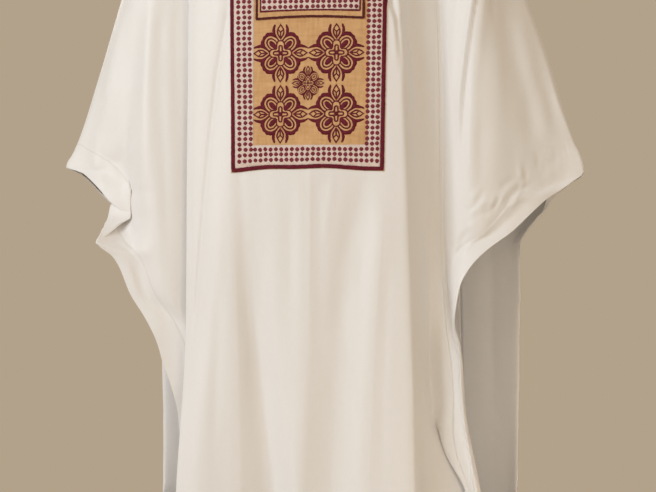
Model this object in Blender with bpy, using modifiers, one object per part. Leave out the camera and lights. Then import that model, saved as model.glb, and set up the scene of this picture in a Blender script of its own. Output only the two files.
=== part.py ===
"""Grand boubou robe: a wide worn robe of smooth cloth with open sleeves.

Metres, +Z up, front towards -Y, +X to the viewer's right.  The origin is the
middle of the neck opening at the height of the shoulder line, where the wearer's
shoulders carry the robe.

The cloth is lofted through level sections.  Each section is a chain of folds that
runs across the front from the left edge to the right edge, and another that runs
across the back.  A fold keeps its number at every level, so each one is a long
crease down the robe.  Above the sleeve tips the two chains close into a ring over
the arms, between the tips and the side seams they are open, and below the side
seams they close again.
"""
import math

import bpy
import bmesh
import numpy as np
from mathutils import Vector

# ------------------------------------------------------------------ main sizes (mm)
CLOTH = 1.6            # thickness of the cloth wall
PANEL_CLOTH = 1.4      # thickness of what is laid on the front
SEAM_GAP = 0.4         # space between two pieces along a seam
LAY_GAP = 0.35         # space between a panel and what lies on it
CHEST_Z = -290.0       # level of the first full section, across the chest
TIP_Z = -504.0         # level of the sleeve tips
SIDE_SEAM_Z = -1000.0  # level where the open sides end and the side seams begin
HEM_Z = -1270.0        # level of the hem
NECK_HALF = 76.0       # half width of the neck opening on the shoulder line
NECK_DROP = 150.0      # depth of the front neck below the shoulder line
SHOULDER_HALF = 198.0  # half width to the point of the shoulder
SHOULDER_DROP = 56.0   # fall of the shoulder line from the neck to that point
NECK_RISE = 5.0        # height of the cloth at the neck above the origin

# stations down the robe, in the order of the columns of the fold tables
STATIONS = (-290.0, -505.0, -700.0, -925.0, -1270.0)

# how far the front and back of the body stand from the middle, at the stations
FRONT_DEPTH = (-128.0, -136.0, -139.0, -143.0, -152.0)
BACK_DEPTH = (118.0, 102.0, 112.0, 118.0, 130.0)

# Folds across the front, left to right.
# name, softness, x on the shoulder line, (x at the stations), (set-back from the
# front depth at the stations)
FRONT_FOLDS = (
    ("left_edge",    0.90, -198, (0, 0, 0, 0, 0),                 (0, 0, 0, 0, 0)),
    ("cuff_inner",   0.55, -190, (-266, -258, -246, -246, -246),  (50, 40, 36, 36, 36)),
    ("cuff_outer",   0.80, -182, (-252, -266, -240, -240, -240),  (56, 62, 40, 40, 40)),
    ("cuff_back",    0.70, -177, (-238, -240, -228, -228, -228), (44, 44, 36, 48, 48)),
    ("left_swell",   0.90, -173, (-224, -222, -208, -205, -205),  (37, 29, 30, 60, 60)),
    ("left_turn",    0.80, -163, (-189, -185, -189, -188, -190),  (39, 33, 31, 62, 66)),
    ("left_valley",  0.55, -152, (-168, -165, -163, -172, -182),  (45, 45, 47, 40, 40)),
    ("left_lip",     0.40, -146, (-170, -170, -170, -180, -190),  (30, 27, 24, 10, 9)),
    ("left_rise",    0.85, -128, (-155, -153, -153, -162, -172),  (18, 16, 13, 3, 2)),
    ("left_crest",   0.90, -100, (-107, -103, -117, -128, -138),  (4, 2, 0, -1, -3)),
    ("left_trough",  0.60,  -76, (-75, -76, -74, -55, -44),       (1, 3, 10, 16, 20)),
    ("neck_left",    0.90,  -48, (-36, -35, -40, -34, -26),       (-1, 0, 3, 6, 8)),
    ("centre",       0.90,   -2, (-3, -2, -6, -16, -10),          (-2, -2, -3, -4, -6)),
    ("neck_right",   0.90,   46, (30, 31, 16, 8, 10),             (-1, 0, 2, 3, 4)),
    ("right_trough", 0.85,   75, (69, 66, 46, 32, 34),            (1, 3, 6, 8, 9)),
    ("right_crest",  0.90,   98, (98, 94, 88, 84, 92),            (4, 2, -1, -2, -2)),
    ("right_turn",   0.52,  112, (113, 122, 128, 135, 141),       (8, 5, 4, 5, 6)),
    ("right_fall",   0.80,  120, (122, 132, 140, 148, 156),       (31, 30, 29, 36, 40)),
    ("flap_valley",  0.50,  130, (139, 143, 144, 192, 200),       (45, 47, 51, 85, 92)),
    ("flap_swell",   0.60,  140, (150, 154, 158, 190, 206),       (47, 51, 51, 48, 66)),
    ("right_valley", 0.40,  150, (159, 164, 173, 203, 214),       (62, 64, 63, 58, 86)),
    ("right_rise",   0.85,  160, (176, 182, 186, 204, 218),       (40, 42, 46, 44, 80)),
    ("right_swell",  0.90,  172, (214, 216, 212, 208, 222),       (28, 33, 40, 48, 84)),
    ("right_dip",    0.85,  182, (246, 300, 300, 300, 300),       (56, 78, 80, 80, 80)),
    ("right_light",  0.85,  190, (260, 320, 318, 318, 318),       (68, 86, 86, 86, 86)),
    ("right_edge",   0.90,  198, (0, 0, 0, 0, 0),                 (0, 0, 0, 0, 0)),
)

# Folds across the back, right to left.  The set-back is measured inwards.
BACK_FOLDS = (
    ("right_edge",     0.90,  198, (0, 0, 0, 0, 0),                 (0, 0, 0, 0, 0)),
    ("right_side",     0.90,  190, (262, 326, 250, 248, 262),       (80, 98, 52, 58, 124)),
    ("right_blade",    0.90,  174, (226, 262, 230, 238, 256),       (38, 42, 40, 42, 66)),
    ("right_valley",   0.60,  150, (172, 176, 178, 182, 190),       (32, 30, 26, 22, 24)),
    ("right_pleat",    0.80,  118, (132, 134, 136, 140, 148),       (6, 4, 2, 0, -2)),
    ("right_hollow",   0.90,   77, (82, 84, 86, 88, 94),            (8, 12, 14, 16, 20)),
    ("back_crest",     0.90,    2, (22, 20, 18, 20, 24),            (0, 0, -2, -2, -4)),
    ("left_hollow",    0.90,  -77, (-52, -56, -60, -62, -66),       (8, 10, 12, 16, 18)),
    ("left_pleat",     0.80, -118, (-122, -124, -124, -122, -128),  (4, 4, 0, 0, -2)),
    ("left_valley",    0.60, -150, (-172, -172, -170, -168, -176),  (32, 30, 26, 24, 24)),
    ("left_blade",     0.90, -174, (-226, -258, -222, -214, -232),  (38, 42, 42, 44, 68)),
    ("left_side",      0.90, -190, (-262, -322, -238, -238, -242),  (80, 98, 52, 58, 124)),
    ("left_edge",      0.90, -198, (0, 0, 0, 0, 0),                 (0, 0, 0, 0, 0)),
)

# Arm line from the shoulder point to the sleeve tip, then the free front edges down
# to the side seams.  Columns: level z, x, y.
LEFT_FRONT_EDGE = (
    (-290, -278, -30), (-391, -310.5, -34), (-448, -328, -38), (-480, -340, -40),
    (-504, -350, -42), (-510, -326, -53), (-515, -316, -61), (-529, -297, -73),
    (-544, -283, -78), (-555, -269, -80), (-567, -254, -81), (-577, -265, -88),
    (-590, -278.5, -98), (-601, -290, -105), (-618, -272, -101), (-630, -264, -99),
    (-670, -247, -98), (-702, -226, -102), (-731, -211, -105), (-760, -202, -106),
    (-787, -192, -106), (-820, -184, -102), (-862, -181, -94), (-925, -177, -82),
    (-960, -187, -68), (-1000, -208, -42), (-1100, -208, -46), (-1270, -212, -52),
)
RIGHT_FRONT_EDGE = (
    (-290, 272, -34), (-372, 301, -37), (-420, 314.5, -40), (-464, 329, -42),
    (-504, 343.5, -44), (-519, 331, -50), (-531, 317, -58), (-542, 300, -66),
    (-568, 273, -80), (-588, 253, -90), (-609, 225, -100), (-623, 210, -104),
    (-637, 199, -106), (-654, 190, -107), (-671, 186, -107), (-703, 181, -102),
    (-733, 188, -99), (-753, 191, -98), (-784, 192, -98), (-801, 193, -98),
    (-832, 196, -98), (-867, 203, -97), (-922, 213, -92), (-960, 220, -74),
    (-1000, 226, -42), (-1100, 226, -46), (-1270, 230, -52),
)
# Free back edges, from the sleeve tips to the side seams.
LEFT_BACK_EDGE = (
    (-290, -278, -30), (-391, -310.5, -34), (-448, -328, -38), (-480, -340, -40),
    (-504, -350, -42), (-510, -336, -28), (-532, -313, -2), (-559, -287, 24),
    (-590, -269, 42), (-631, -260, 58), (-679, -251, 66), (-720, -246, 70),
    (-788, -244, 72), (-856, -243, 72), (-925, -242, 68), (-948, -240, 56), (-970, -233, 28),
    (-986, -220, -8),
    (-1000, -208, -42), (-1100, -208, -46), (-1270, -212, -52),
)
RIGHT_BACK_EDGE = (
    (-290, 272, -34), (-372, 301, -37), (-420, 314.5, -40), (-464, 329, -42),
    (-504, 343.5, -44), (-529, 311, -18), (-540, 294, 4), (-556, 287, 22),
    (-572, 273, 34), (-584, 263, 44), (-605, 252, 56), (-640, 251, 66),
    (-717, 251, 70), (-777, 251, 72), (-830, 250, 72), (-884, 249, 71),
    (-928, 248, 66), (-950, 246, 54), (-971, 241, 28), (-986, 234, -8), (-1000, 226, -42), (-1100, 226, -46),
    (-1270, 230, -52),
)
# The folded-over cuff on the left: the front layer turns back at its inner fold,
# runs behind itself to its outer fold, turns again, and rolls forward at its back.
# Columns: level z, inner x and y, outer x and y, back x and y.
LEFT_CUFF_FOLD = (
    (-290, -266, -62, -252, -78, -238, -88), (-359, -278, -64, -257, -78, -240, -90),
    (-412, -284, -67, -262, -79, -243, -91), (-465, -280, -71, -263, -80, -245, -92),
    (-505, -264, -76, -256, -80, -242, -91), (-525, -252, -81, -254, -79, -248, -84),
    (-536, -248, -82, -265, -75, -258, -73), (-546, -247, -83, -284, -73, -262, -72.5),
    (-556, -248, -83.5, -288, -76, -264, -71),
    (-567, -250, -84, -289, -82, -266, -68),
    (-577, -268, -89.5, -290.5, -93, -262, -74), (-590, -281, -99.5, -292, -103, -258, -81),
    (-601, -291, -105.5, -293.5, -107, -256, -88), (-618, -267, -102, -262, -102, -246, -98),
    (-660, -246, -101, -240, -101, -228, -96),
)
# Small hollow at the right of the opening, where the edge curls forward.
# Columns: level z, valley x, valley y.
RIGHT_VALLEY = (
    (-290, 159, -74), (-367, 163, -76), (-475, 164, -78), (-531, 164, -78),
    (-605, 165, -78), (-658, 170, -80), (-714, 177, -86), (-754, 184, -94),
    (-804, 188, -98), (-850, 193, -98), (-925, 204, -94), (-1000, 216, -60),
    (-1270, 218, -66),
)
FLAP_VALLEY = (
    (-290, 139, -88), (-504, 144, -93), (-701, 146, -90), (-745, 145, -86),
    (-816, 148, -82), (-834, 150, -81), (-854, 160, -78), (-885, 179, -75),
    (-926, 201, -70), (-1000, 208, -60), (-1270, 212, -62),
)

# chest panel, placket and binding
CHEST_FOLDS = ("left_crest", "right_crest")      # folds along its two borders
CHEST_BOTTOM_Z = -509.0                          # its lower border
PLACKET_FOLDS = ("left_trough", "right_trough")  # folds along the placket's borders
PLACKET_BOTTOM_Z = -314.0
CORD_RADIUS = 2.2                                # rolled edging of the neck
CORD_CLEAR = 1.6                                 # space between edging and cloth edge
NECK_MIDDLE = (0.0, -30.0, -20.0)

FRONT_NAMES = [row[0] for row in FRONT_FOLDS]
BACK_NAMES = [row[0] for row in BACK_FOLDS]
EDGE_SOFT = FRONT_FOLDS[0][1]
LEFT_SEAM_U = FRONT_NAMES.index("left_valley") + 0.30
RIGHT_SEAM_U = FRONT_NAMES.index("right_valley") - 0.42
BACK_RIGHT_SEAM_U = float(BACK_NAMES.index("right_valley")) + 0.2
BACK_LEFT_SEAM_U = float(BACK_NAMES.index("left_valley")) - 0.2


# ------------------------------------------------------------------ curves
def follow(table, z):
    """Values of a table at level z, by a smooth curve that never overshoots."""
    rows = sorted(table)
    x = np.array([r[0] for r in rows], dtype=float)
    y = np.array([r[1:] for r in rows], dtype=float)
    z = min(max(z, x[0]), x[-1])
    h = np.diff(x)
    slope = np.diff(y, axis=0) / h[:, None]
    m = np.zeros_like(y)
    m[0], m[-1] = slope[0], slope[-1]
    for i in range(1, len(x) - 1):
        w1, w2 = 2 * h[i] + h[i - 1], h[i] + 2 * h[i - 1]
        for c in range(y.shape[1]):
            a, b = slope[i - 1, c], slope[i, c]
            m[i, c] = 0.0 if a * b <= 0 else (w1 + w2) / (w1 / a + w2 / b)
    i = int(min(max(np.searchsorted(x, z) - 1, 0), len(x) - 2))
    t = (z - x[i]) / h[i]
    return ((2 * t**3 - 3 * t**2 + 1) * y[i] + (t**3 - 2 * t**2 + t) * h[i] * m[i]
            + (3 * t**2 - 2 * t**3) * y[i + 1] + (t**3 - t**2) * h[i] * m[i + 1])


def stations(values, z):
    return float(follow([(s, v) for s, v in zip(STATIONS, values)], z)[0])


def larger(a, b, soft):
    """The larger of two values, with a rounded change between them."""
    return 0.5 * (a + b + math.sqrt((a - b) ** 2 + soft * soft))


def shoulder_z(x):
    """Height of the shoulder line at x."""
    part = max(0.0, abs(x) - NECK_HALF) / (SHOULDER_HALF - NECK_HALF)
    return NECK_RISE - SHOULDER_DROP * (0.45 * part + 0.55 * part * part)


# ------------------------------------------------------------------ sections
def squeeze_left(pts, first, last):
    """Gather the left sleeve's folds between its free edge and its valley, where
    the edge runs in over them."""
    start, end = pts[first].copy(), pts[last].copy()
    span, count = end[0] - start[0], last - first
    for n in range(1, count):
        i, part = first + n, n / count
        own = pts[i][0]
        if span > 0:
            floor = start[0] + part * min(60.0, span)
            new = larger(own, floor, 5.0) if span > 70.0 else max(own, floor)
            new = min(new, start[0] + span * (0.5 + 0.5 * part))
        else:
            new = start[0] + part * span
        shift = min(1.0, abs(new - own) / 22.0)
        pts[i][1] += shift * (start[1] + part * (end[1] - start[1]) - pts[i][1])
        pts[i][0] = new


def squeeze_right(pts, first, last):
    """The same on the right sleeve, between its valley and its free edge."""
    start, end = pts[first].copy(), pts[last].copy()
    span, count = end[0] - start[0], last - first
    for n in range(1, count):
        i, part = first + n, n / count
        own = pts[i][0]
        limit = start[0] + span * part if span < 60 else end[0] - (1 - part) * 60.0
        new = -larger(-own, -limit, 5.0) if span > 70 else min(own, limit)
        new = max(new, start[0] + span * part * 0.5)
        shift = min(1.0, abs(new - own) / 22.0)
        line = start[1] + part * (end[1] - start[1]) - 6.0 * math.sin(math.pi * part) * shift
        pts[i][1] += shift * (line - pts[i][1])
        pts[i][0] = new


def front_section(z):
    """Fold points across the front at a level at or below the chest."""
    depth = stations(FRONT_DEPTH, z)
    pts = np.zeros((len(FRONT_FOLDS), 3))
    for i, (name, soft, x0, xs, setback) in enumerate(FRONT_FOLDS):
        pts[i] = (stations(xs, z), depth + stations(setback, z), z)
    k = FRONT_NAMES.index
    pts[k("left_edge")][:2] = follow(LEFT_FRONT_EDGE, z)
    pts[k("right_edge")][:2] = follow(RIGHT_FRONT_EDGE, z)
    pts[k("right_valley")][:2] = follow(RIGHT_VALLEY, z)
    pts[k("flap_valley")][:2] = follow(FLAP_VALLEY, z)
    if z > -660.0:
        fold = follow(LEFT_CUFF_FOLD, z)
        keep = min(1.0, (z + 660.0) / 42.0)
        for j, name in enumerate(("cuff_inner", "cuff_outer", "cuff_back")):
            pts[k(name)][:2] += keep * (np.array(fold[2 * j:2 * j + 2]) - pts[k(name)][:2])
    if z <= -601.0:
        part = min(1.0, (-601.0 - z) / 17.0)
        before = pts.copy()
        squeeze_left(pts, k("left_edge"), k("left_valley"))
        pts[:] = before + part * (pts - before)
    squeeze_right(pts, k("right_valley"), k("right_edge"))
    # the swell of the flap stays between the two valleys, and lower down it hangs a
    # little over the first of them
    over = min(1.0, max(0.0, (-800.0 - z) / 75.0)) * min(1.0, max(0.0, (z + 1000.0) / 60.0))
    j, low, high = k("flap_swell"), pts[k("flap_valley")][0] + 3.0, pts[k("right_valley")][0] - 2.0
    pts[j][0] = min(max(pts[j][0], low), max(high, low))
    pts[j][0] += over * (pts[k("flap_valley")][0] - 6.0 - pts[j][0])
    pts[k("flap_valley")][0] += 7.0 * over
    return pts


def back_section(z):
    """Fold points across the back at a level at or below the chest."""
    depth = stations(BACK_DEPTH, z)
    pts = np.zeros((len(BACK_FOLDS), 3))
    for i, (name, soft, x0, xs, setback) in enumerate(BACK_FOLDS):
        pts[i] = (stations(xs, z), depth - stations(setback, z), z)
    pts[0][:2] = follow(RIGHT_BACK_EDGE, z)
    pts[-1][:2] = follow(LEFT_BACK_EDGE, z)
    for i, e, s in ((1, 0, 1.0), (len(pts) - 2, len(pts) - 1, -1.0)):
        if SIDE_SEAM_Z < z < TIP_Z:
            # the side swell follows the free edge inwards
            reach = (pts[e][0]) * s
            keep = min(1.0, (TIP_Z - z) / 60.0)
            keep *= min(1.0, max(0.0, (z + 975.0) / 40.0))
            want = min(pts[i][0] * s, reach + 2.0)
            pts[i][0] += keep * (want * s - pts[i][0])
            near = pts[e][1] - 3.0
            pts[i][1] += keep * 0.85 * (near - pts[i][1])
            j = i + (1 if e == 0 else -1)
            wide = reach - 16.0
            if pts[j][0] * s > wide:
                pts[j][0] = wide * s
    return pts


def top_line(folds, back):
    """Fold points along the shoulder line and the neck edge."""
    pts = np.zeros((len(folds), 3))
    for i, row in enumerate(folds):
        x = float(row[2])
        if abs(x) >= NECK_HALF - 2:
            pts[i] = (x, 0.0, shoulder_z(x))
            continue
        part = 1.0 - abs(x) / NECK_HALF          # 0 at the shoulder, 1 in the middle
        if back:
            round_ = math.sin(math.acos(min(1.0, abs(x) / NECK_HALF)))
            pts[i] = (x, 52.0 * round_, NECK_RISE - 6.0 * round_)
        else:
            fall = part ** 1.25
            round_ = math.sin(math.acos(min(1.0, abs(x) / NECK_HALF)))
            pts[i] = (x, -118.0 * round_ * (0.72 + 0.28 * part), NECK_RISE - NECK_DROP * fall)
    return pts


def yoke(top, low, lower, v):
    """Fold points part of the way v from the shoulder line down to the chest,
    running on into the next section below (`lower`, 20 mm down)."""
    out = np.zeros_like(top)
    for i in range(len(top)):
        a, d = top[i], low[i]
        run = d - a
        fall = (lower[i] - d) / 20.0
        if i == 0 or i == len(top) - 1:
            b = a + np.array((0.16 * run[0] + (18.0 if d[0] > 0 else -18.0), 0.2 * run[1], 0.20 * run[2]))
            c = d + fall * 0.40 * run[2]
        else:
            b = a + np.array((0.25 * run[0], 0.66 * run[1], 0.0))
            c = d + fall * 0.50 * run[2]
        s = 1 - v
        out[i] = s**3 * a + 3 * s * s * v * b + 3 * s * v * v * c + v**3 * d
    return out


def fold_points(level):
    """Front and back fold points of a level.  0..1 is the yoke, from the shoulder
    line to the chest; anything below zero is a height in mm."""
    if level >= 0.0:
        top_f, top_b = top_line(FRONT_FOLDS, False), top_line(BACK_FOLDS, True)
        front = yoke(top_f, front_section(CHEST_Z), front_section(CHEST_Z - 20.0), level)
        back = yoke(top_b, back_section(CHEST_Z), back_section(CHEST_Z - 20.0), level)
    else:
        front, back = front_section(level), back_section(level)
    if level_is_ring(level):
        for i, j in ((0, -1), (-1, 0)):
            f1, b1 = (front[1], back[-2]) if i == 0 else (front[-2], back[1])
            s = EDGE_SOFT
            front[i] = back[j] = (front[i] - s / 8 * (f1 + b1)) / (1 - s / 4)
    return front, back


# ------------------------------------------------------------------ chains
def chain(points, soft, u, before, after):
    """Point at u on a chain of folds.  Whole numbers are the folds.  Each fold is
    a parabola, wide when it is soft, between straight runs.  `before` and `after`
    are the neighbours past the two ends, or None at a free edge."""
    last = len(points) - 1
    i = int(min(max(math.floor(u + 0.5), 0), last))
    w = u - i + 0.5
    p = points[i]
    prev = points[i - 1] if i > 0 else before
    nxt = points[i + 1] if i < last else after
    if prev is None or nxt is None:
        other = nxt if prev is None else prev
        t = abs(w - 0.5)
        return p + t * (other - p)
    s = soft[i]
    m0, m1 = 0.5 * (prev + p), 0.5 * (p + nxt)
    a, b = p + s * (m0 - p), p + s * (m1 - p)
    edge = 0.5 * (1 - s)
    if w < edge:
        return m0 + (a - m0) * (w / edge)
    if w > 1 - edge:
        return b + (m1 - b) * ((w - 1 + edge) / edge)
    t = (w - edge) / s
    return (1 - t) ** 2 * a + 2 * t * (1 - t) * p + t * t * b


FRONT_SOFT = [row[1] for row in FRONT_FOLDS]
BACK_SOFT = [row[1] for row in BACK_FOLDS]


def level_is_ring(level):
    return 0.0 < level or (TIP_Z <= level < 0.0) or level <= SIDE_SEAM_Z


def front_point(folds, level, u):
    front, back = folds
    ring = level_is_ring(level)
    return chain(front, FRONT_SOFT, u, back[-2] if ring else None, back[1] if ring else None)


def back_point(folds, level, u):
    front, back = folds
    ring = level_is_ring(level)
    return chain(back, BACK_SOFT, u, front[-2] if ring else None, front[1] if ring else None)


# ------------------------------------------------------------------ rows and columns
ROWS = ([0.0, 0.06, 0.18, 0.36, 0.57, 0.78]
        + [-290.0, PLACKET_BOTTOM_Z, -350.0, -400.0, -445.0, -480.0, TIP_Z]
        + [CHEST_BOTTOM_Z, -519.0, -531.0, -545.0, -556.0, -567.0, -578.0, -590.0, -601.0]
        + [-618.0, -636.0, -660.0, -690.0, -722.0, -756.0, -790.0, -825.0, -862.0]
        + [-895.0, -928.0, -962.0, SIDE_SEAM_Z, -1085.0, -1178.0, HEM_Z])


def columns(names, first, last, sharp=(), extra=()):
    """Column positions between two places on the chain: one on each fold, two more
    beside the sharp ones, and one after each of the `extra` ones."""
    cols = []
    for i, name in enumerate(names):
        cols += [i - 0.3, float(i), i + 0.3] if name in sharp else [float(i)]
        cols += [i + 0.5] if name in extra else []
    inner = [c for c in cols if first + 0.2 < c < last - 0.2]
    return [first] + inner + [last]


FRONT_SHARP = ("cuff_inner", "cuff_outer", "left_valley", "left_lip", "right_valley")
BACK_SHARP = ("right_side", "left_side")
BACK_EXTRA = ("right_hollow", "back_crest")


def step_in(point_of, u, towards, distance):
    """The point a short distance along the section from u, towards another u."""
    a = point_of(u)
    b = point_of(u + (0.08 if towards > u else -0.08))
    run = b - a
    size = np.linalg.norm(run)
    return a + run * (distance / size) if size > 1e-6 else a


def grid(cols, side, seam_first, seam_last):
    """Rows of points, one for each level, kept half a seam gap clear of a seam."""
    out = []
    for level in ROWS:
        folds = fold_points(level)
        at = front_point if side == "front" else back_point
        row = [at(folds, level, u) for u in cols]
        if seam_first:
            row[0] = step_in(lambda u: at(folds, level, u), cols[0], cols[1], SEAM_GAP / 2)
        if seam_last:
            row[-1] = step_in(lambda u: at(folds, level, u), cols[-1], cols[-2], SEAM_GAP / 2)
        out.append(row)
    return out


def pull_back(rows, first, last):
    """Row 0 of a grid, half a seam gap short of the shoulder line."""
    for c in range(first, last):
        a, b = rows[0][c], rows[1][c]
        rows[0][c] = a + (b - a) * (SEAM_GAP / 2 / np.linalg.norm(b - a))


def normals(rows):
    """Outward normals at the points of a grid."""
    p = np.array(rows)
    along, down = np.gradient(p, axis=1), np.gradient(p, axis=0)
    n = np.cross(down, along)
    return n / np.linalg.norm(n, axis=2, keepdims=True)


def laid_on(rows, cols, borders, first_row, last_row, distance):
    """A piece laid on the front: the front's own points between two folds, moved
    outwards."""
    n = normals(rows)
    a, b = cols.index(float(FRONT_NAMES.index(borders[0]))), cols.index(float(FRONT_NAMES.index(borders[1])))
    return [[np.array(rows[r][c]) + n[r, c] * distance for c in range(a, b + 1)]
            for r in range(first_row, last_row + 1)]


# ------------------------------------------------------------------ making objects
def collection(name):
    made = bpy.data.collections.new(name)
    bpy.context.scene.collection.children.link(made)
    return made


def material(name, colour, roughness, metallic=0.0):
    mat = bpy.data.materials.new(name)
    mat.use_nodes = True
    shader = mat.node_tree.nodes["Principled BSDF"]
    shader.inputs["Base Color"].default_value = (*colour, 1.0)
    shader.inputs["Roughness"].default_value = roughness
    shader.inputs["Metallic"].default_value = metallic
    return mat


def sheet_object(name, grids, thickness, mat, home):
    """A cloth wall from one or more grids whose shared points are joined."""
    mesh = bpy.data.meshes.new(name)
    bm = bmesh.new()
    index = {}

    def vert(p):
        key = (round(p[0], 2), round(p[1], 2), round(p[2], 2))
        if key not in index:
            index[key] = bm.verts.new(Vector((p[0], p[1], p[2])) / 1000.0)
        return index[key]

    for rows in grids:
        made = [[vert(p) for p in row] for row in rows]
        for r in range(len(made) - 1):
            for c in range(len(made[r]) - 1):
                ring = [made[r][c], made[r + 1][c], made[r + 1][c + 1], made[r][c + 1]]
                face = [v for n, v in enumerate(ring) if v is not ring[n - 1]]
                if len(face) >= 3:
                    bm.faces.new(face)
    bmesh.ops.triangulate(bm, faces=bm.faces[:])
    bm.to_mesh(mesh)
    bm.free()
    obj = bpy.data.objects.new(name, mesh)
    home.objects.link(obj)
    shell = obj.modifiers.new("wall", "SOLIDIFY")
    shell.thickness = thickness / 1000.0
    shell.offset = 0.0
    obj.data.materials.append(mat)
    return obj


def neck_edge(front, front_cols, back, back_cols):
    """Closed loop just inside the neck opening, for the edging: the panels' own
    edge points with two more between each pair, moved towards the middle."""
    corners = []
    for rows, cols, names, ends in ((front, front_cols, FRONT_NAMES, ("left_trough", "right_trough")),
                                    (back, back_cols, BACK_NAMES, ("right_hollow", "left_hollow"))):
        a, b = (cols.index(float(names.index(n))) for n in ends)
        corners += [rows[0][c] for c in range(a, b + 1)]
    run = []
    for i, p in enumerate(corners):
        q = corners[(i + 1) % len(corners)]
        run += [p + (q - p) * part for part in (0.0, 1 / 3, 2 / 3)]
    points = []
    for i, edge in enumerate(run):
        along = run[(i + 1) % len(run)] - run[i - 1]
        along = along / np.linalg.norm(along)
        inward = np.array(NECK_MIDDLE) - edge
        inward = inward - along * float(inward @ along)
        inward = inward / np.linalg.norm(inward)
        points.append(edge + inward * (CORD_RADIUS + CORD_CLEAR))
    return points


def cord_object(name, points, radius, mat, home):
    curve = bpy.data.curves.new(name, "CURVE")
    curve.dimensions = "3D"
    curve.bevel_depth = radius / 1000.0
    curve.bevel_resolution = 1
    spline = curve.splines.new("POLY")
    spline.points.add(len(points) - 1)
    for slot, p in zip(spline.points, points):
        slot.co = (p[0] / 1000.0, p[1] / 1000.0, p[2] / 1000.0, 1.0)
    spline.use_cyclic_u = True
    obj = bpy.data.objects.new(name, curve)
    home.objects.link(obj)
    curve.materials.append(mat)
    return obj


# ------------------------------------------------------------------ pieces
def build():
    for obj in list(bpy.data.objects):
        bpy.data.objects.remove(obj, do_unlink=True)
    home = collection("grand_boubou_robe")
    white_front = material("white_cloth_front", (0.80, 0.77, 0.73), 0.55)
    white_back = material("white_cloth_back", (0.79, 0.76, 0.72), 0.55)
    white_left = material("white_cloth_left", (0.81, 0.78, 0.74), 0.55)
    white_right = material("white_cloth_right", (0.78, 0.75, 0.71), 0.55)
    tan = material("tan_embroidered_cloth", (0.66, 0.38, 0.17), 0.8)
    dotted = material("dotted_placket_cloth", (0.55, 0.32, 0.28), 0.8)
    maroon = material("maroon_edging", (0.14, 0.01, 0.025), 0.8)
    last_f, last_b = float(len(FRONT_FOLDS) - 1), float(len(BACK_FOLDS) - 1)

    cols = columns(FRONT_NAMES, LEFT_SEAM_U, RIGHT_SEAM_U, FRONT_SHARP)
    front = grid(cols, "front", True, True)
    whole = [list(row) for row in front]
    pull_back(front, 0, len(front[0]))
    sheet_object("front_panel", [front], CLOTH, white_front, home)

    back_cols = columns(BACK_NAMES, BACK_RIGHT_SEAM_U, BACK_LEFT_SEAM_U, BACK_SHARP, BACK_EXTRA)
    back = grid(back_cols, "back", True, True)
    pull_back(back, 0, len(back[0]))
    sheet_object("back_panel", [back], CLOTH, white_back, home)

    left_f = grid(columns(FRONT_NAMES, 0.0, LEFT_SEAM_U, FRONT_SHARP), "front", False, True)
    left_b = grid(columns(BACK_NAMES, BACK_LEFT_SEAM_U, last_b, BACK_SHARP), "back", True, False)
    pull_back(left_f, 1, len(left_f[0]))
    pull_back(left_b, 0, len(left_b[0]) - 1)
    sheet_object("sleeve_left", [left_f, left_b], CLOTH, white_left, home)

    right_f = grid(columns(FRONT_NAMES, RIGHT_SEAM_U, last_f, FRONT_SHARP), "front", True, False)
    right_b = grid(columns(BACK_NAMES, 0.0, BACK_RIGHT_SEAM_U, BACK_SHARP), "back", False, True)
    pull_back(right_f, 0, len(right_f[0]) - 1)
    pull_back(right_b, 1, len(right_b[0]))
    sheet_object("sleeve_right", [right_f, right_b], CLOTH, white_right, home)

    lift = 0.5 * CLOTH + LAY_GAP + 0.5 * PANEL_CLOTH
    chest = laid_on(whole, cols, CHEST_FOLDS, 1, ROWS.index(CHEST_BOTTOM_Z), lift)
    sheet_object("chest_panel", [chest], PANEL_CLOTH, tan, home)
    lift += PANEL_CLOTH + LAY_GAP
    placket = laid_on(whole, cols, PLACKET_FOLDS, 1, ROWS.index(PLACKET_BOTTOM_Z), lift)
    sheet_object("neck_placket", [placket], PANEL_CLOTH, dotted, home)
    cord_object("neck_binding", neck_edge(front, cols, back, back_cols), CORD_RADIUS, maroon, home)
    return home


if __name__ == "__main__":
    build()
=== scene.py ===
"""Looks of the grand boubou robe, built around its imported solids.

Everything is in the robe's own frame: +Z up, front towards -Y, +X to the viewer's
right, with the origin in the middle of the neck opening.  Sizes are in millimetres
until a point is written into a mesh.

The cloth repeats the folds of the solids, sampled finely, with thin creases, hems and
puckers added as soft troughs and ridges.  The embroidery is cut from charted shapes
(leaves, petals, crosses, dots) and laid on the chest panel.
"""
import heapq
import math

import bpy
import numpy as np
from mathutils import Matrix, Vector
from mathutils.geometry import delaunay_2d_cdt


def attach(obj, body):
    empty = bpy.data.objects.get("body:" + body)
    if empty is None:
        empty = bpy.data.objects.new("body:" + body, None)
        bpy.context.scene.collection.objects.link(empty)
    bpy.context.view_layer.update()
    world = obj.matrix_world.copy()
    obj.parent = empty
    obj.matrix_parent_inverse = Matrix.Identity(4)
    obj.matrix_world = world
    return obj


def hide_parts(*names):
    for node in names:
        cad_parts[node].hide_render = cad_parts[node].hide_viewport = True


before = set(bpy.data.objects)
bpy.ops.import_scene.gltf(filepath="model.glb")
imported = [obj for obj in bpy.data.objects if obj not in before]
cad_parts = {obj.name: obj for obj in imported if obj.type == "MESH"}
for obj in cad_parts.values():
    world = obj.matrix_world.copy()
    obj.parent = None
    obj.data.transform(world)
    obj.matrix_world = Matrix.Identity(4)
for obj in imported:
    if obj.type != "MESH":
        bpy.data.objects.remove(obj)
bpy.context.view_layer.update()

# =============================================================== the robe's folds
# ------------------------------------------------------------------ main sizes (mm)
CLOTH = 1.6            # thickness of the cloth wall
PANEL_CLOTH = 1.4      # thickness of what is laid on the front
SEAM_GAP = 0.4         # space between two pieces along a seam
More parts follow.
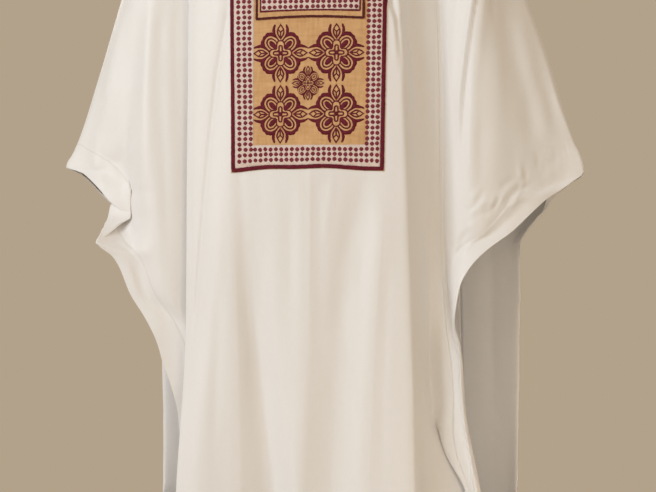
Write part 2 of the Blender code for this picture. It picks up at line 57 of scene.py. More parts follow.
LAY_GAP = 0.35         # space between a panel and what lies on it
CHEST_Z = -290.0       # level of the first full section, across the chest
TIP_Z = -504.0         # level of the sleeve tips
SIDE_SEAM_Z = -1000.0  # level where the open sides end and the side seams begin
HEM_Z = -1270.0        # level of the hem
NECK_HALF = 76.0       # half width of the neck opening on the shoulder line
NECK_DROP = 150.0      # depth of the front neck below the shoulder line
SHOULDER_HALF = 198.0  # half width to the point of the shoulder
SHOULDER_DROP = 56.0   # fall of the shoulder line from the neck to that point
NECK_RISE = 5.0        # height of the cloth at the neck above the origin

# stations down the robe, in the order of the columns of the fold tables
STATIONS = (-290.0, -505.0, -700.0, -925.0, -1270.0)

# how far the front and back of the body stand from the middle, at the stations
FRONT_DEPTH = (-128.0, -136.0, -139.0, -143.0, -152.0)
BACK_DEPTH = (118.0, 102.0, 112.0, 118.0, 130.0)

# Folds across the front, left to right.
# name, softness, x on the shoulder line, (x at the stations), (set-back from the
# front depth at the stations)
FRONT_FOLDS = (
    ("left_edge",    0.90, -198, (0, 0, 0, 0, 0),                 (0, 0, 0, 0, 0)),
    ("cuff_inner",   0.55, -190, (-266, -258, -246, -246, -246),  (50, 40, 36, 36, 36)),
    ("cuff_outer",   0.80, -182, (-252, -266, -240, -240, -240),  (56, 62, 40, 40, 40)),
    ("cuff_back",    0.70, -177, (-238, -240, -228, -228, -228), (44, 44, 36, 48, 48)),
    ("left_swell",   0.90, -173, (-224, -222, -208, -205, -205),  (37, 29, 30, 60, 60)),
    ("left_turn",    0.80, -163, (-189, -185, -189, -188, -190),  (39, 33, 31, 62, 66)),
    ("left_valley",  0.55, -152, (-168, -165, -163, -172, -182),  (45, 45, 47, 40, 40)),
    ("left_lip",     0.40, -146, (-170, -170, -170, -180, -190),  (30, 27, 24, 10, 9)),
    ("left_rise",    0.85, -128, (-155, -153, -153, -162, -172),  (18, 16, 13, 3, 2)),
    ("left_crest",   0.90, -100, (-107, -103, -117, -128, -138),  (4, 2, 0, -1, -3)),
    ("left_trough",  0.60,  -76, (-75, -76, -74, -55, -44),       (1, 3, 10, 16, 20)),
    ("neck_left",    0.90,  -48, (-36, -35, -40, -34, -26),       (-1, 0, 3, 6, 8)),
    ("centre",       0.90,   -2, (-3, -2, -6, -16, -10),          (-2, -2, -3, -4, -6)),
    ("neck_right",   0.90,   46, (30, 31, 16, 8, 10),             (-1, 0, 2, 3, 4)),
    ("right_trough", 0.85,   75, (69, 66, 46, 32, 34),            (1, 3, 6, 8, 9)),
    ("right_crest",  0.90,   98, (98, 94, 88, 84, 92),            (4, 2, -1, -2, -2)),
    ("right_turn",   0.52,  112, (113, 122, 128, 135, 141),       (8, 5, 4, 5, 6)),
    ("right_fall",   0.80,  120, (122, 132, 140, 148, 156),       (31, 30, 29, 36, 40)),
    ("flap_valley",  0.50,  130, (139, 143, 144, 192, 200),       (45, 47, 51, 85, 92)),
    ("flap_swell",   0.60,  140, (150, 154, 158, 190, 206),       (47, 51, 51, 48, 66)),
    ("right_valley", 0.40,  150, (159, 164, 173, 203, 214),       (62, 64, 63, 58, 86)),
    ("right_rise",   0.85,  160, (176, 182, 186, 204, 218),       (40, 42, 46, 44, 80)),
    ("right_swell",  0.90,  172, (214, 216, 212, 208, 222),       (28, 33, 40, 48, 84)),
    ("right_dip",    0.85,  182, (246, 300, 300, 300, 300),       (56, 78, 80, 80, 80)),
    ("right_light",  0.85,  190, (260, 320, 318, 318, 318),       (68, 86, 86, 86, 86)),
    ("right_edge",   0.90,  198, (0, 0, 0, 0, 0),                 (0, 0, 0, 0, 0)),
)

# Folds across the back, right to left.  The set-back is measured inwards.
BACK_FOLDS = (
    ("right_edge",     0.90,  198, (0, 0, 0, 0, 0),                 (0, 0, 0, 0, 0)),
    ("right_side",     0.90,  190, (262, 326, 250, 248, 262),       (80, 98, 52, 58, 124)),
    ("right_blade",    0.90,  174, (226, 262, 230, 238, 256),       (38, 42, 40, 42, 66)),
    ("right_valley",   0.60,  150, (172, 176, 178, 182, 190),       (32, 30, 26, 22, 24)),
    ("right_pleat",    0.80,  118, (132, 134, 136, 140, 148),       (6, 4, 2, 0, -2)),
    ("right_hollow",   0.90,   77, (82, 84, 86, 88, 94),            (8, 12, 14, 16, 20)),
    ("back_crest",     0.90,    2, (22, 20, 18, 20, 24),            (0, 0, -2, -2, -4)),
    ("left_hollow",    0.90,  -77, (-52, -56, -60, -62, -66),       (8, 10, 12, 16, 18)),
    ("left_pleat",     0.80, -118, (-122, -124, -124, -122, -128),  (4, 4, 0, 0, -2)),
    ("left_valley",    0.60, -150, (-172, -172, -170, -168, -176),  (32, 30, 26, 24, 24)),
    ("left_blade",     0.90, -174, (-226, -258, -222, -214, -232),  (38, 42, 42, 44, 68)),
    ("left_side",      0.90, -190, (-262, -322, -238, -238, -242),  (80, 98, 52, 58, 124)),
    ("left_edge",      0.90, -198, (0, 0, 0, 0, 0),                 (0, 0, 0, 0, 0)),
)

# Arm line from the shoulder point to the sleeve tip, then the free front edges down
# to the side seams.  Columns: level z, x, y.
LEFT_FRONT_EDGE = (
    (-290, -278, -30), (-391, -310.5, -34), (-448, -328, -38), (-480, -340, -40),
    (-504, -350, -42), (-510, -326, -53), (-515, -316, -61), (-529, -297, -73),
    (-544, -283, -78), (-555, -269, -80), (-567, -254, -81), (-577, -265, -88),
    (-590, -278.5, -98), (-601, -290, -105), (-618, -272, -101), (-630, -264, -99),
    (-670, -247, -98), (-702, -226, -102), (-731, -211, -105), (-760, -202, -106),
    (-787, -192, -106), (-820, -184, -102), (-862, -181, -94), (-925, -177, -82),
    (-960, -187, -68), (-1000, -208, -42), (-1100, -208, -46), (-1270, -212, -52),
)
RIGHT_FRONT_EDGE = (
    (-290, 272, -34), (-372, 301, -37), (-420, 314.5, -40), (-464, 329, -42),
    (-504, 343.5, -44), (-519, 331, -50), (-531, 317, -58), (-542, 300, -66),
    (-568, 273, -80), (-588, 253, -90), (-609, 225, -100), (-623, 210, -104),
    (-637, 199, -106), (-654, 190, -107), (-671, 186, -107), (-703, 181, -102),
    (-733, 188, -99), (-753, 191, -98), (-784, 192, -98), (-801, 193, -98),
    (-832, 196, -98), (-867, 203, -97), (-922, 213, -92), (-960, 220, -74),
    (-1000, 226, -42), (-1100, 226, -46), (-1270, 230, -52),
)
# Free back edges, from the sleeve tips to the side seams.
LEFT_BACK_EDGE = (
    (-290, -278, -30), (-391, -310.5, -34), (-448, -328, -38), (-480, -340, -40),
    (-504, -350, -42), (-510, -336, -28), (-532, -313, -2), (-559, -287, 24),
    (-590, -269, 42), (-631, -260, 58), (-679, -251, 66), (-720, -246, 70),
    (-788, -244, 72), (-856, -243, 72), (-925, -242, 68), (-948, -240, 56), (-970, -233, 28),
    (-986, -220, -8),
    (-1000, -208, -42), (-1100, -208, -46), (-1270, -212, -52),
)
RIGHT_BACK_EDGE = (
    (-290, 272, -34), (-372, 301, -37), (-420, 314.5, -40), (-464, 329, -42),
    (-504, 343.5, -44), (-529, 311, -18), (-540, 294, 4), (-556, 287, 22),
    (-572, 273, 34), (-584, 263, 44), (-605, 252, 56), (-640, 251, 66),
    (-717, 251, 70), (-777, 251, 72), (-830, 250, 72), (-884, 249, 71),
    (-928, 248, 66), (-950, 246, 54), (-971, 241, 28), (-986, 234, -8), (-1000, 226, -42), (-1100, 226, -46),
    (-1270, 230, -52),
)
# The folded-over cuff on the left: the front layer turns back at its inner fold,
# runs behind itself to its outer fold, turns again, and rolls forward at its back.
# Columns: level z, inner x and y, outer x and y, back x and y.
LEFT_CUFF_FOLD = (
    (-290, -266, -62, -252, -78, -238, -88), (-359, -278, -64, -257, -78, -240, -90),
    (-412, -284, -67, -262, -79, -243, -91), (-465, -280, -71, -263, -80, -245, -92),
    (-505, -264, -76, -256, -80, -242, -91), (-525, -252, -81, -254, -79, -248, -84),
    (-536, -248, -82, -265, -75, -258, -73), (-546, -247, -83, -284, -73, -262, -72.5),
    (-556, -248, -83.5, -288, -76, -264, -71),
    (-567, -250, -84, -289, -82, -266, -68),
    (-577, -268, -89.5, -290.5, -93, -262, -74), (-590, -281, -99.5, -292, -103, -258, -81),
    (-601, -291, -105.5, -293.5, -107, -256, -88), (-618, -267, -102, -262, -102, -246, -98),
    (-660, -246, -101, -240, -101, -228, -96),
)
# Small hollow at the right of the opening, where the edge curls forward.
# Columns: level z, valley x, valley y.
RIGHT_VALLEY = (
    (-290, 159, -74), (-367, 163, -76), (-475, 164, -78), (-531, 164, -78),
    (-605, 165, -78), (-658, 170, -80), (-714, 177, -86), (-754, 184, -94),
    (-804, 188, -98), (-850, 193, -98), (-925, 204, -94), (-1000, 216, -60),
    (-1270, 218, -66),
)
FLAP_VALLEY = (
    (-290, 139, -88), (-504, 144, -93), (-701, 146, -90), (-745, 145, -86),
    (-816, 148, -82), (-834, 150, -81), (-854, 160, -78), (-885, 179, -75),
    (-926, 201, -70), (-1000, 208, -60), (-1270, 212, -62),
)

# chest panel, placket and binding
CHEST_FOLDS = ("left_crest", "right_crest")      # folds along its two borders
CHEST_BOTTOM_Z = -509.0                          # its lower border
PLACKET_FOLDS = ("left_trough", "right_trough")  # folds along the placket's borders
PLACKET_BOTTOM_Z = -314.0
CORD_RADIUS = 2.2                                # rolled edging of the neck
CORD_CLEAR = 1.6                                 # space between edging and cloth edge
NECK_MIDDLE = (0.0, -30.0, -20.0)

FRONT_NAMES = [row[0] for row in FRONT_FOLDS]
BACK_NAMES = [row[0] for row in BACK_FOLDS]
EDGE_SOFT = FRONT_FOLDS[0][1]
LEFT_SEAM_U = FRONT_NAMES.index("left_valley") + 0.30
RIGHT_SEAM_U = FRONT_NAMES.index("right_valley") - 0.42
BACK_RIGHT_SEAM_U = float(BACK_NAMES.index("right_valley")) + 0.2
BACK_LEFT_SEAM_U = float(BACK_NAMES.index("left_valley")) - 0.2


# ------------------------------------------------------------------ curves
def follow(table, z):
    """Values of a table at level z, by a smooth curve that never overshoots."""
    rows = sorted(table)
    x = np.array([r[0] for r in rows], dtype=float)
    y = np.array([r[1:] for r in rows], dtype=float)
    z = min(max(z, x[0]), x[-1])
    h = np.diff(x)
    slope = np.diff(y, axis=0) / h[:, None]
    m = np.zeros_like(y)
    m[0], m[-1] = slope[0], slope[-1]
    for i in range(1, len(x) - 1):
        w1, w2 = 2 * h[i] + h[i - 1], h[i] + 2 * h[i - 1]
        for c in range(y.shape[1]):
            a, b = slope[i - 1, c], slope[i, c]
            m[i, c] = 0.0 if a * b <= 0 else (w1 + w2) / (w1 / a + w2 / b)
    i = int(min(max(np.searchsorted(x, z) - 1, 0), len(x) - 2))
    t = (z - x[i]) / h[i]
    return ((2 * t**3 - 3 * t**2 + 1) * y[i] + (t**3 - 2 * t**2 + t) * h[i] * m[i]
            + (3 * t**2 - 2 * t**3) * y[i + 1] + (t**3 - t**2) * h[i] * m[i + 1])


def stations(values, z):
    return float(follow([(s, v) for s, v in zip(STATIONS, values)], z)[0])


def larger(a, b, soft):
    """The larger of two values, with a rounded change between them."""
    return 0.5 * (a + b + math.sqrt((a - b) ** 2 + soft * soft))


def shoulder_z(x):
    """Height of the shoulder line at x."""
    part = max(0.0, abs(x) - NECK_HALF) / (SHOULDER_HALF - NECK_HALF)
    return NECK_RISE - SHOULDER_DROP * (0.45 * part + 0.55 * part * part)


# ------------------------------------------------------------------ sections
def squeeze_left(pts, first, last):
    """Gather the left sleeve's folds between its free edge and its valley, where
    the edge runs in over them."""
    start, end = pts[first].copy(), pts[last].copy()
    span, count = end[0] - start[0], last - first
    for n in range(1, count):
        i, part = first + n, n / count
        own = pts[i][0]
        if span > 0:
            floor = start[0] + part * min(60.0, span)
            new = larger(own, floor, 5.0) if span > 70.0 else max(own, floor)
            new = min(new, start[0] + span * (0.5 + 0.5 * part))
        else:
            new = start[0] + part * span
        shift = min(1.0, abs(new - own) / 22.0)
        pts[i][1] += shift * (start[1] + part * (end[1] - start[1]) - pts[i][1])
        pts[i][0] = new


def squeeze_right(pts, first, last):
    """The same on the right sleeve, between its valley and its free edge."""
    start, end = pts[first].copy(), pts[last].copy()
    span, count = end[0] - start[0], last - first
    for n in range(1, count):
        i, part = first + n, n / count
        own = pts[i][0]
        limit = start[0] + span * part if span < 60 else end[0] - (1 - part) * 60.0
        new = -larger(-own, -limit, 5.0) if span > 70 else min(own, limit)
        new = max(new, start[0] + span * part * 0.5)
        shift = min(1.0, abs(new - own) / 22.0)
        line = start[1] + part * (end[1] - start[1]) - 6.0 * math.sin(math.pi * part) * shift
        pts[i][1] += shift * (line - pts[i][1])
        pts[i][0] = new


def front_section(z):
    """Fold points across the front at a level at or below the chest."""
    depth = stations(FRONT_DEPTH, z)
    pts = np.zeros((len(FRONT_FOLDS), 3))
    for i, (name, soft, x0, xs, setback) in enumerate(FRONT_FOLDS):
        pts[i] = (stations(xs, z), depth + stations(setback, z), z)
    k = FRONT_NAMES.index
    pts[k("left_edge")][:2] = follow(LEFT_FRONT_EDGE, z)
    pts[k("right_edge")][:2] = follow(RIGHT_FRONT_EDGE, z)
    pts[k("right_valley")][:2] = follow(RIGHT_VALLEY, z)
    pts[k("flap_valley")][:2] = follow(FLAP_VALLEY, z)
    if z > -660.0:
        fold = follow(LEFT_CUFF_FOLD, z)
        keep = min(1.0, (z + 660.0) / 42.0)
        for j, name in enumerate(("cuff_inner", "cuff_outer", "cuff_back")):
            pts[k(name)][:2] += keep * (np.array(fold[2 * j:2 * j + 2]) - pts[k(name)][:2])
    if z <= -601.0:
        part = min(1.0, (-601.0 - z) / 17.0)
        before = pts.copy()
        squeeze_left(pts, k("left_edge"), k("left_valley"))
        pts[:] = before + part * (pts - before)
    squeeze_right(pts, k("right_valley"), k("right_edge"))
    # the swell of the flap stays between the two valleys, and lower down it hangs a
    # little over the first of them
    over = min(1.0, max(0.0, (-800.0 - z) / 75.0)) * min(1.0, max(0.0, (z + 1000.0) / 60.0))
    j, low, high = k("flap_swell"), pts[k("flap_valley")][0] + 3.0, pts[k("right_valley")][0] - 2.0
    pts[j][0] = min(max(pts[j][0], low), max(high, low))
    pts[j][0] += over * (pts[k("flap_valley")][0] - 6.0 - pts[j][0])
    pts[k("flap_valley")][0] += 7.0 * over
    return pts


def back_section(z):
    """Fold points across the back at a level at or below the chest."""
    depth = stations(BACK_DEPTH, z)
    pts = np.zeros((len(BACK_FOLDS), 3))
    for i, (name, soft, x0, xs, setback) in enumerate(BACK_FOLDS):
        pts[i] = (stations(xs, z), depth - stations(setback, z), z)
    pts[0][:2] = follow(RIGHT_BACK_EDGE, z)
    pts[-1][:2] = follow(LEFT_BACK_EDGE, z)
    for i, e, s in ((1, 0, 1.0), (len(pts) - 2, len(pts) - 1, -1.0)):
        if SIDE_SEAM_Z < z < TIP_Z:
            # the side swell follows the free edge inwards
            reach = (pts[e][0]) * s
            keep = min(1.0, (TIP_Z - z) / 60.0)
            keep *= min(1.0, max(0.0, (z + 975.0) / 40.0))
            want = min(pts[i][0] * s, reach + 2.0)
            pts[i][0] += keep * (want * s - pts[i][0])
            near = pts[e][1] - 3.0
            pts[i][1] += keep * 0.85 * (near - pts[i][1])
            j = i + (1 if e == 0 else -1)
            wide = reach - 16.0
            if pts[j][0] * s > wide:
                pts[j][0] = wide * s
    return pts


def top_line(folds, back):
    """Fold points along the shoulder line and the neck edge."""
    pts = np.zeros((len(folds), 3))
    for i, row in enumerate(folds):
        x = float(row[2])
        if abs(x) >= NECK_HALF - 2:
            pts[i] = (x, 0.0, shoulder_z(x))
            continue
        part = 1.0 - abs(x) / NECK_HALF          # 0 at the shoulder, 1 in the middle
        if back:
            round_ = math.sin(math.acos(min(1.0, abs(x) / NECK_HALF)))
            pts[i] = (x, 52.0 * round_, NECK_RISE - 6.0 * round_)
        else:
            fall = part ** 1.25
            round_ = math.sin(math.acos(min(1.0, abs(x) / NECK_HALF)))
            pts[i] = (x, -118.0 * round_ * (0.72 + 0.28 * part), NECK_RISE - NECK_DROP * fall)
    return pts


def yoke(top, low, lower, v):
    """Fold points part of the way v from the shoulder line down to the chest,
    running on into the next section below (`lower`, 20 mm down)."""
    out = np.zeros_like(top)
    for i in range(len(top)):
        a, d = top[i], low[i]
        run = d - a
        fall = (lower[i] - d) / 20.0
        if i == 0 or i == len(top) - 1:
            b = a + np.array((0.16 * run[0] + (18.0 if d[0] > 0 else -18.0), 0.2 * run[1], 0.20 * run[2]))
            c = d + fall * 0.40 * run[2]
        else:
            b = a + np.array((0.25 * run[0], 0.66 * run[1], 0.0))
            c = d + fall * 0.50 * run[2]
        s = 1 - v
        out[i] = s**3 * a + 3 * s * s * v * b + 3 * s * v * v * c + v**3 * d
    return out


def fold_points(level):
    """Front and back fold points of a level.  0..1 is the yoke, from the shoulder
    line to the chest; anything below zero is a height in mm."""
    if level >= 0.0:
        top_f, top_b = top_line(FRONT_FOLDS, False), top_line(BACK_FOLDS, True)
        front = yoke(top_f, front_section(CHEST_Z), front_section(CHEST_Z - 20.0), level)
        back = yoke(top_b, back_section(CHEST_Z), back_section(CHEST_Z - 20.0), level)
    else:
        front, back = front_section(level), back_section(level)
    if level_is_ring(level):
        for i, j in ((0, -1), (-1, 0)):
            f1, b1 = (front[1], back[-2]) if i == 0 else (front[-2], back[1])
            s = EDGE_SOFT
            front[i] = back[j] = (front[i] - s / 8 * (f1 + b1)) / (1 - s / 4)
    return front, back


# ------------------------------------------------------------------ chains
def chain(points, soft, u, before, after):
    """Point at u on a chain of folds.  Whole numbers are the folds.  Each fold is
    a parabola, wide when it is soft, between straight runs.  `before` and `after`
    are the neighbours past the two ends, or None at a free edge."""
    last = len(points) - 1
    i = int(min(max(math.floor(u + 0.5), 0), last))
    w = u - i + 0.5
    p = points[i]
    prev = points[i - 1] if i > 0 else before
    nxt = points[i + 1] if i < last else after
    if prev is None or nxt is None:
        other = nxt if prev is None else prev
        t = abs(w - 0.5)
        return p + t * (other - p)
    s = soft[i]
    m0, m1 = 0.5 * (prev + p), 0.5 * (p + nxt)
    a, b = p + s * (m0 - p), p + s * (m1 - p)
    edge = 0.5 * (1 - s)
    if w < edge:
        return m0 + (a - m0) * (w / edge)
    if w > 1 - edge:
        return b + (m1 - b) * ((w - 1 + edge) / edge)
    t = (w - edge) / s
    return (1 - t) ** 2 * a + 2 * t * (1 - t) * p + t * t * b


FRONT_SOFT = [row[1] for row in FRONT_FOLDS]
BACK_SOFT = [row[1] for row in BACK_FOLDS]


def level_is_ring(level):
    return 0.0 < level or (TIP_Z <= level < 0.0) or level <= SIDE_SEAM_Z


def front_point(folds, level, u):
    front, back = folds
    ring = level_is_ring(level)
    return chain(front, FRONT_SOFT, u, back[-2] if ring else None, back[1] if ring else None)


def back_point(folds, level, u):
    front, back = folds
    ring = level_is_ring(level)
    return chain(back, BACK_SOFT, u, front[-2] if ring else None, front[1] if ring else None)


# =============================================================== fine sampling
WALL = 1.0             # thickness of the cloth as shown, mm
HEM_WALL = 1.5         # the same along a turned hem
CUFF_HEM = 36.0        # depth of the hem along the open sides
FOOT_HEM = 30.0        # depth of the hem at the foot


def smooth(t):
    t = np.clip(t, 0.0, 1.0)
    return t * t * (3 - 2 * t)


def edge_soft(level):
    """The arm line is a rounded fold at the shoulder and a sharp one at the tip."""
    if level >= 0.0:
        return EDGE_SOFT
    if level >= TIP_Z:
        return 0.12 + (EDGE_SOFT - 0.12) * float(smooth((level - TIP_Z) / 110.0))
    return 0.12 + (EDGE_SOFT - 0.12) * float(smooth((SIDE_SEAM_Z - level) / 110.0))


def chain_row(count, soft, u, ring):
    """What each fold (with one past each end) adds to the point at u."""
    def unit(k):
        v = np.zeros(count + 2)
        v[k] = 1.0
        return v
    points = [unit(i + 1) for i in range(count)]
    return chain(points, soft, u, unit(0) if ring else None, unit(count + 1) if ring else None)


def spaced(lo, hi, step):
    return list(np.linspace(lo, hi, max(2, int(round(abs(hi - lo) / step)) + 1)))[:-1]


LEVELS = ([0.0, 0.012, 0.03, 0.06] + spaced(0.09, 1.0, 0.034)
          + spaced(CHEST_Z, TIP_Z, 6.1) + spaced(TIP_Z, -640.0, 3.6)
          + spaced(-640.0, SIDE_SEAM_Z, 6.3) + spaced(SIDE_SEAM_Z, HEM_Z, 7.4) + [HEM_Z])
RING = [lv >= TIP_Z or lv <= SIDE_SEAM_Z for lv in LEVELS]


def edge_points(level):
    """Fold points of a level, with the arm line's own sharpness."""
    if level >= 0.0:
        front = yoke(top_line(FRONT_FOLDS, False), front_section(CHEST_Z),
                     front_section(CHEST_Z - 20.0), level)
        back = yoke(top_line(BACK_FOLDS, True), back_section(CHEST_Z),
                    back_section(CHEST_Z - 20.0), level)
    else:
        front, back = front_section(level), back_section(level)
    if level_is_ring(level):
        s = edge_soft(level)
        for i, j in ((0, -1), (-1, 0)):
            f1, b1 = (front[1], back[-2]) if i == 0 else (front[-2], back[1])
            front[i] = back[j] = (front[i] - s / 8 * (f1 + b1)) / (1 - s / 4)
    return front, back


def column_places(side, folds, must, step, sharp):
    """Places along the chain about `step` mm apart where the cloth is widest."""
    last = len(folds) - 1
    count = last + 1
    soft = [row[1] for row in folds]
    probes = [edge_points(lv)[side] for lv in (0.5, -290.0, -420.0, -540.0, -600.0, -720.0, -900.0, -1150.0)]
    fine = np.linspace(0, last, last * 20 + 1)
    rows = np.array([chain_row(count, soft, u, False) for u in fine])[:, 1:-1]
    gone = np.zeros(len(fine))
    for pts in probes:
        run = rows @ pts
        gone[1:] = np.maximum(gone[1:], np.linalg.norm(np.diff(run[:, :2], axis=0), axis=1))
    along = np.cumsum(gone)
    for name in sharp:
        i = [row[0] for row in folds].index(name)
        along += 9.0 * (0.5 + 0.5 * np.tanh((fine - i) / 0.12))
    total = along[-1] - along[0]
    n = int(total / step)
    places = list(np.interp(np.linspace(along[0], along[-1], n + 1), along, fine))
    for m in must:
        k = int(np.argmin([abs(p - m) for p in places]))
        places[k] = float(m)
    return sorted(set(round(float(p), 5) for p in places))


FRONT_LAST, BACK_LAST = float(len(FRONT_FOLDS) - 1), float(len(BACK_FOLDS) - 1)
CHEST_U = [float(FRONT_NAMES.index(n)) for n in CHEST_FOLDS]
PLACKET_U = [float(FRONT_NAMES.index(n)) for n in PLACKET_FOLDS]
FU = column_places(0, FRONT_FOLDS, [0.0, LEFT_SEAM_U, RIGHT_SEAM_U, FRONT_LAST] + CHEST_U + PLACKET_U, 2.5,
                   ("left_valley", "left_lip", "right_valley", "right_turn", "flap_valley"))
BU = column_places(1, BACK_FOLDS, [0.0, BACK_RIGHT_SEAM_U, BACK_LEFT_SEAM_U, BACK_LAST], 3.6, ())


def sample(side, folds, places):
    count = len(folds)
    out = np.zeros((len(LEVELS), len(places), 3))
    cache = {}
    for r, level in enumerate(LEVELS):
        pts = edge_points(level)
        s = round(edge_soft(level), 4) if level_is_ring(level) else 0.12
        ring = level_is_ring(level)
        key = (s, ring)
        if key not in cache:
            soft = [row[1] for row in folds]
            soft[0] = soft[-1] = s
            cache[key] = np.array([chain_row(count, soft, u, ring) for u in places])
        own, other = pts[side], pts[1 - side]
        full = np.vstack([other[-2], own, other[1]])
        out[r] = cache[key] @ full
    # the right sleeve tip hangs a little lower than the left one
    z = out[..., 2]
    out[..., 2] = z - 4.8 * np.clip(out[..., 0] / 345.0, -1, 1) ** 3 * np.exp(-((z - TIP_Z) / 15.0) ** 2)
    return out


F = sample(0, FRONT_FOLDS, FU)
B = sample(1, BACK_FOLDS, BU)
NR, NF, NB = len(LEVELS), len(FU), len(BU)


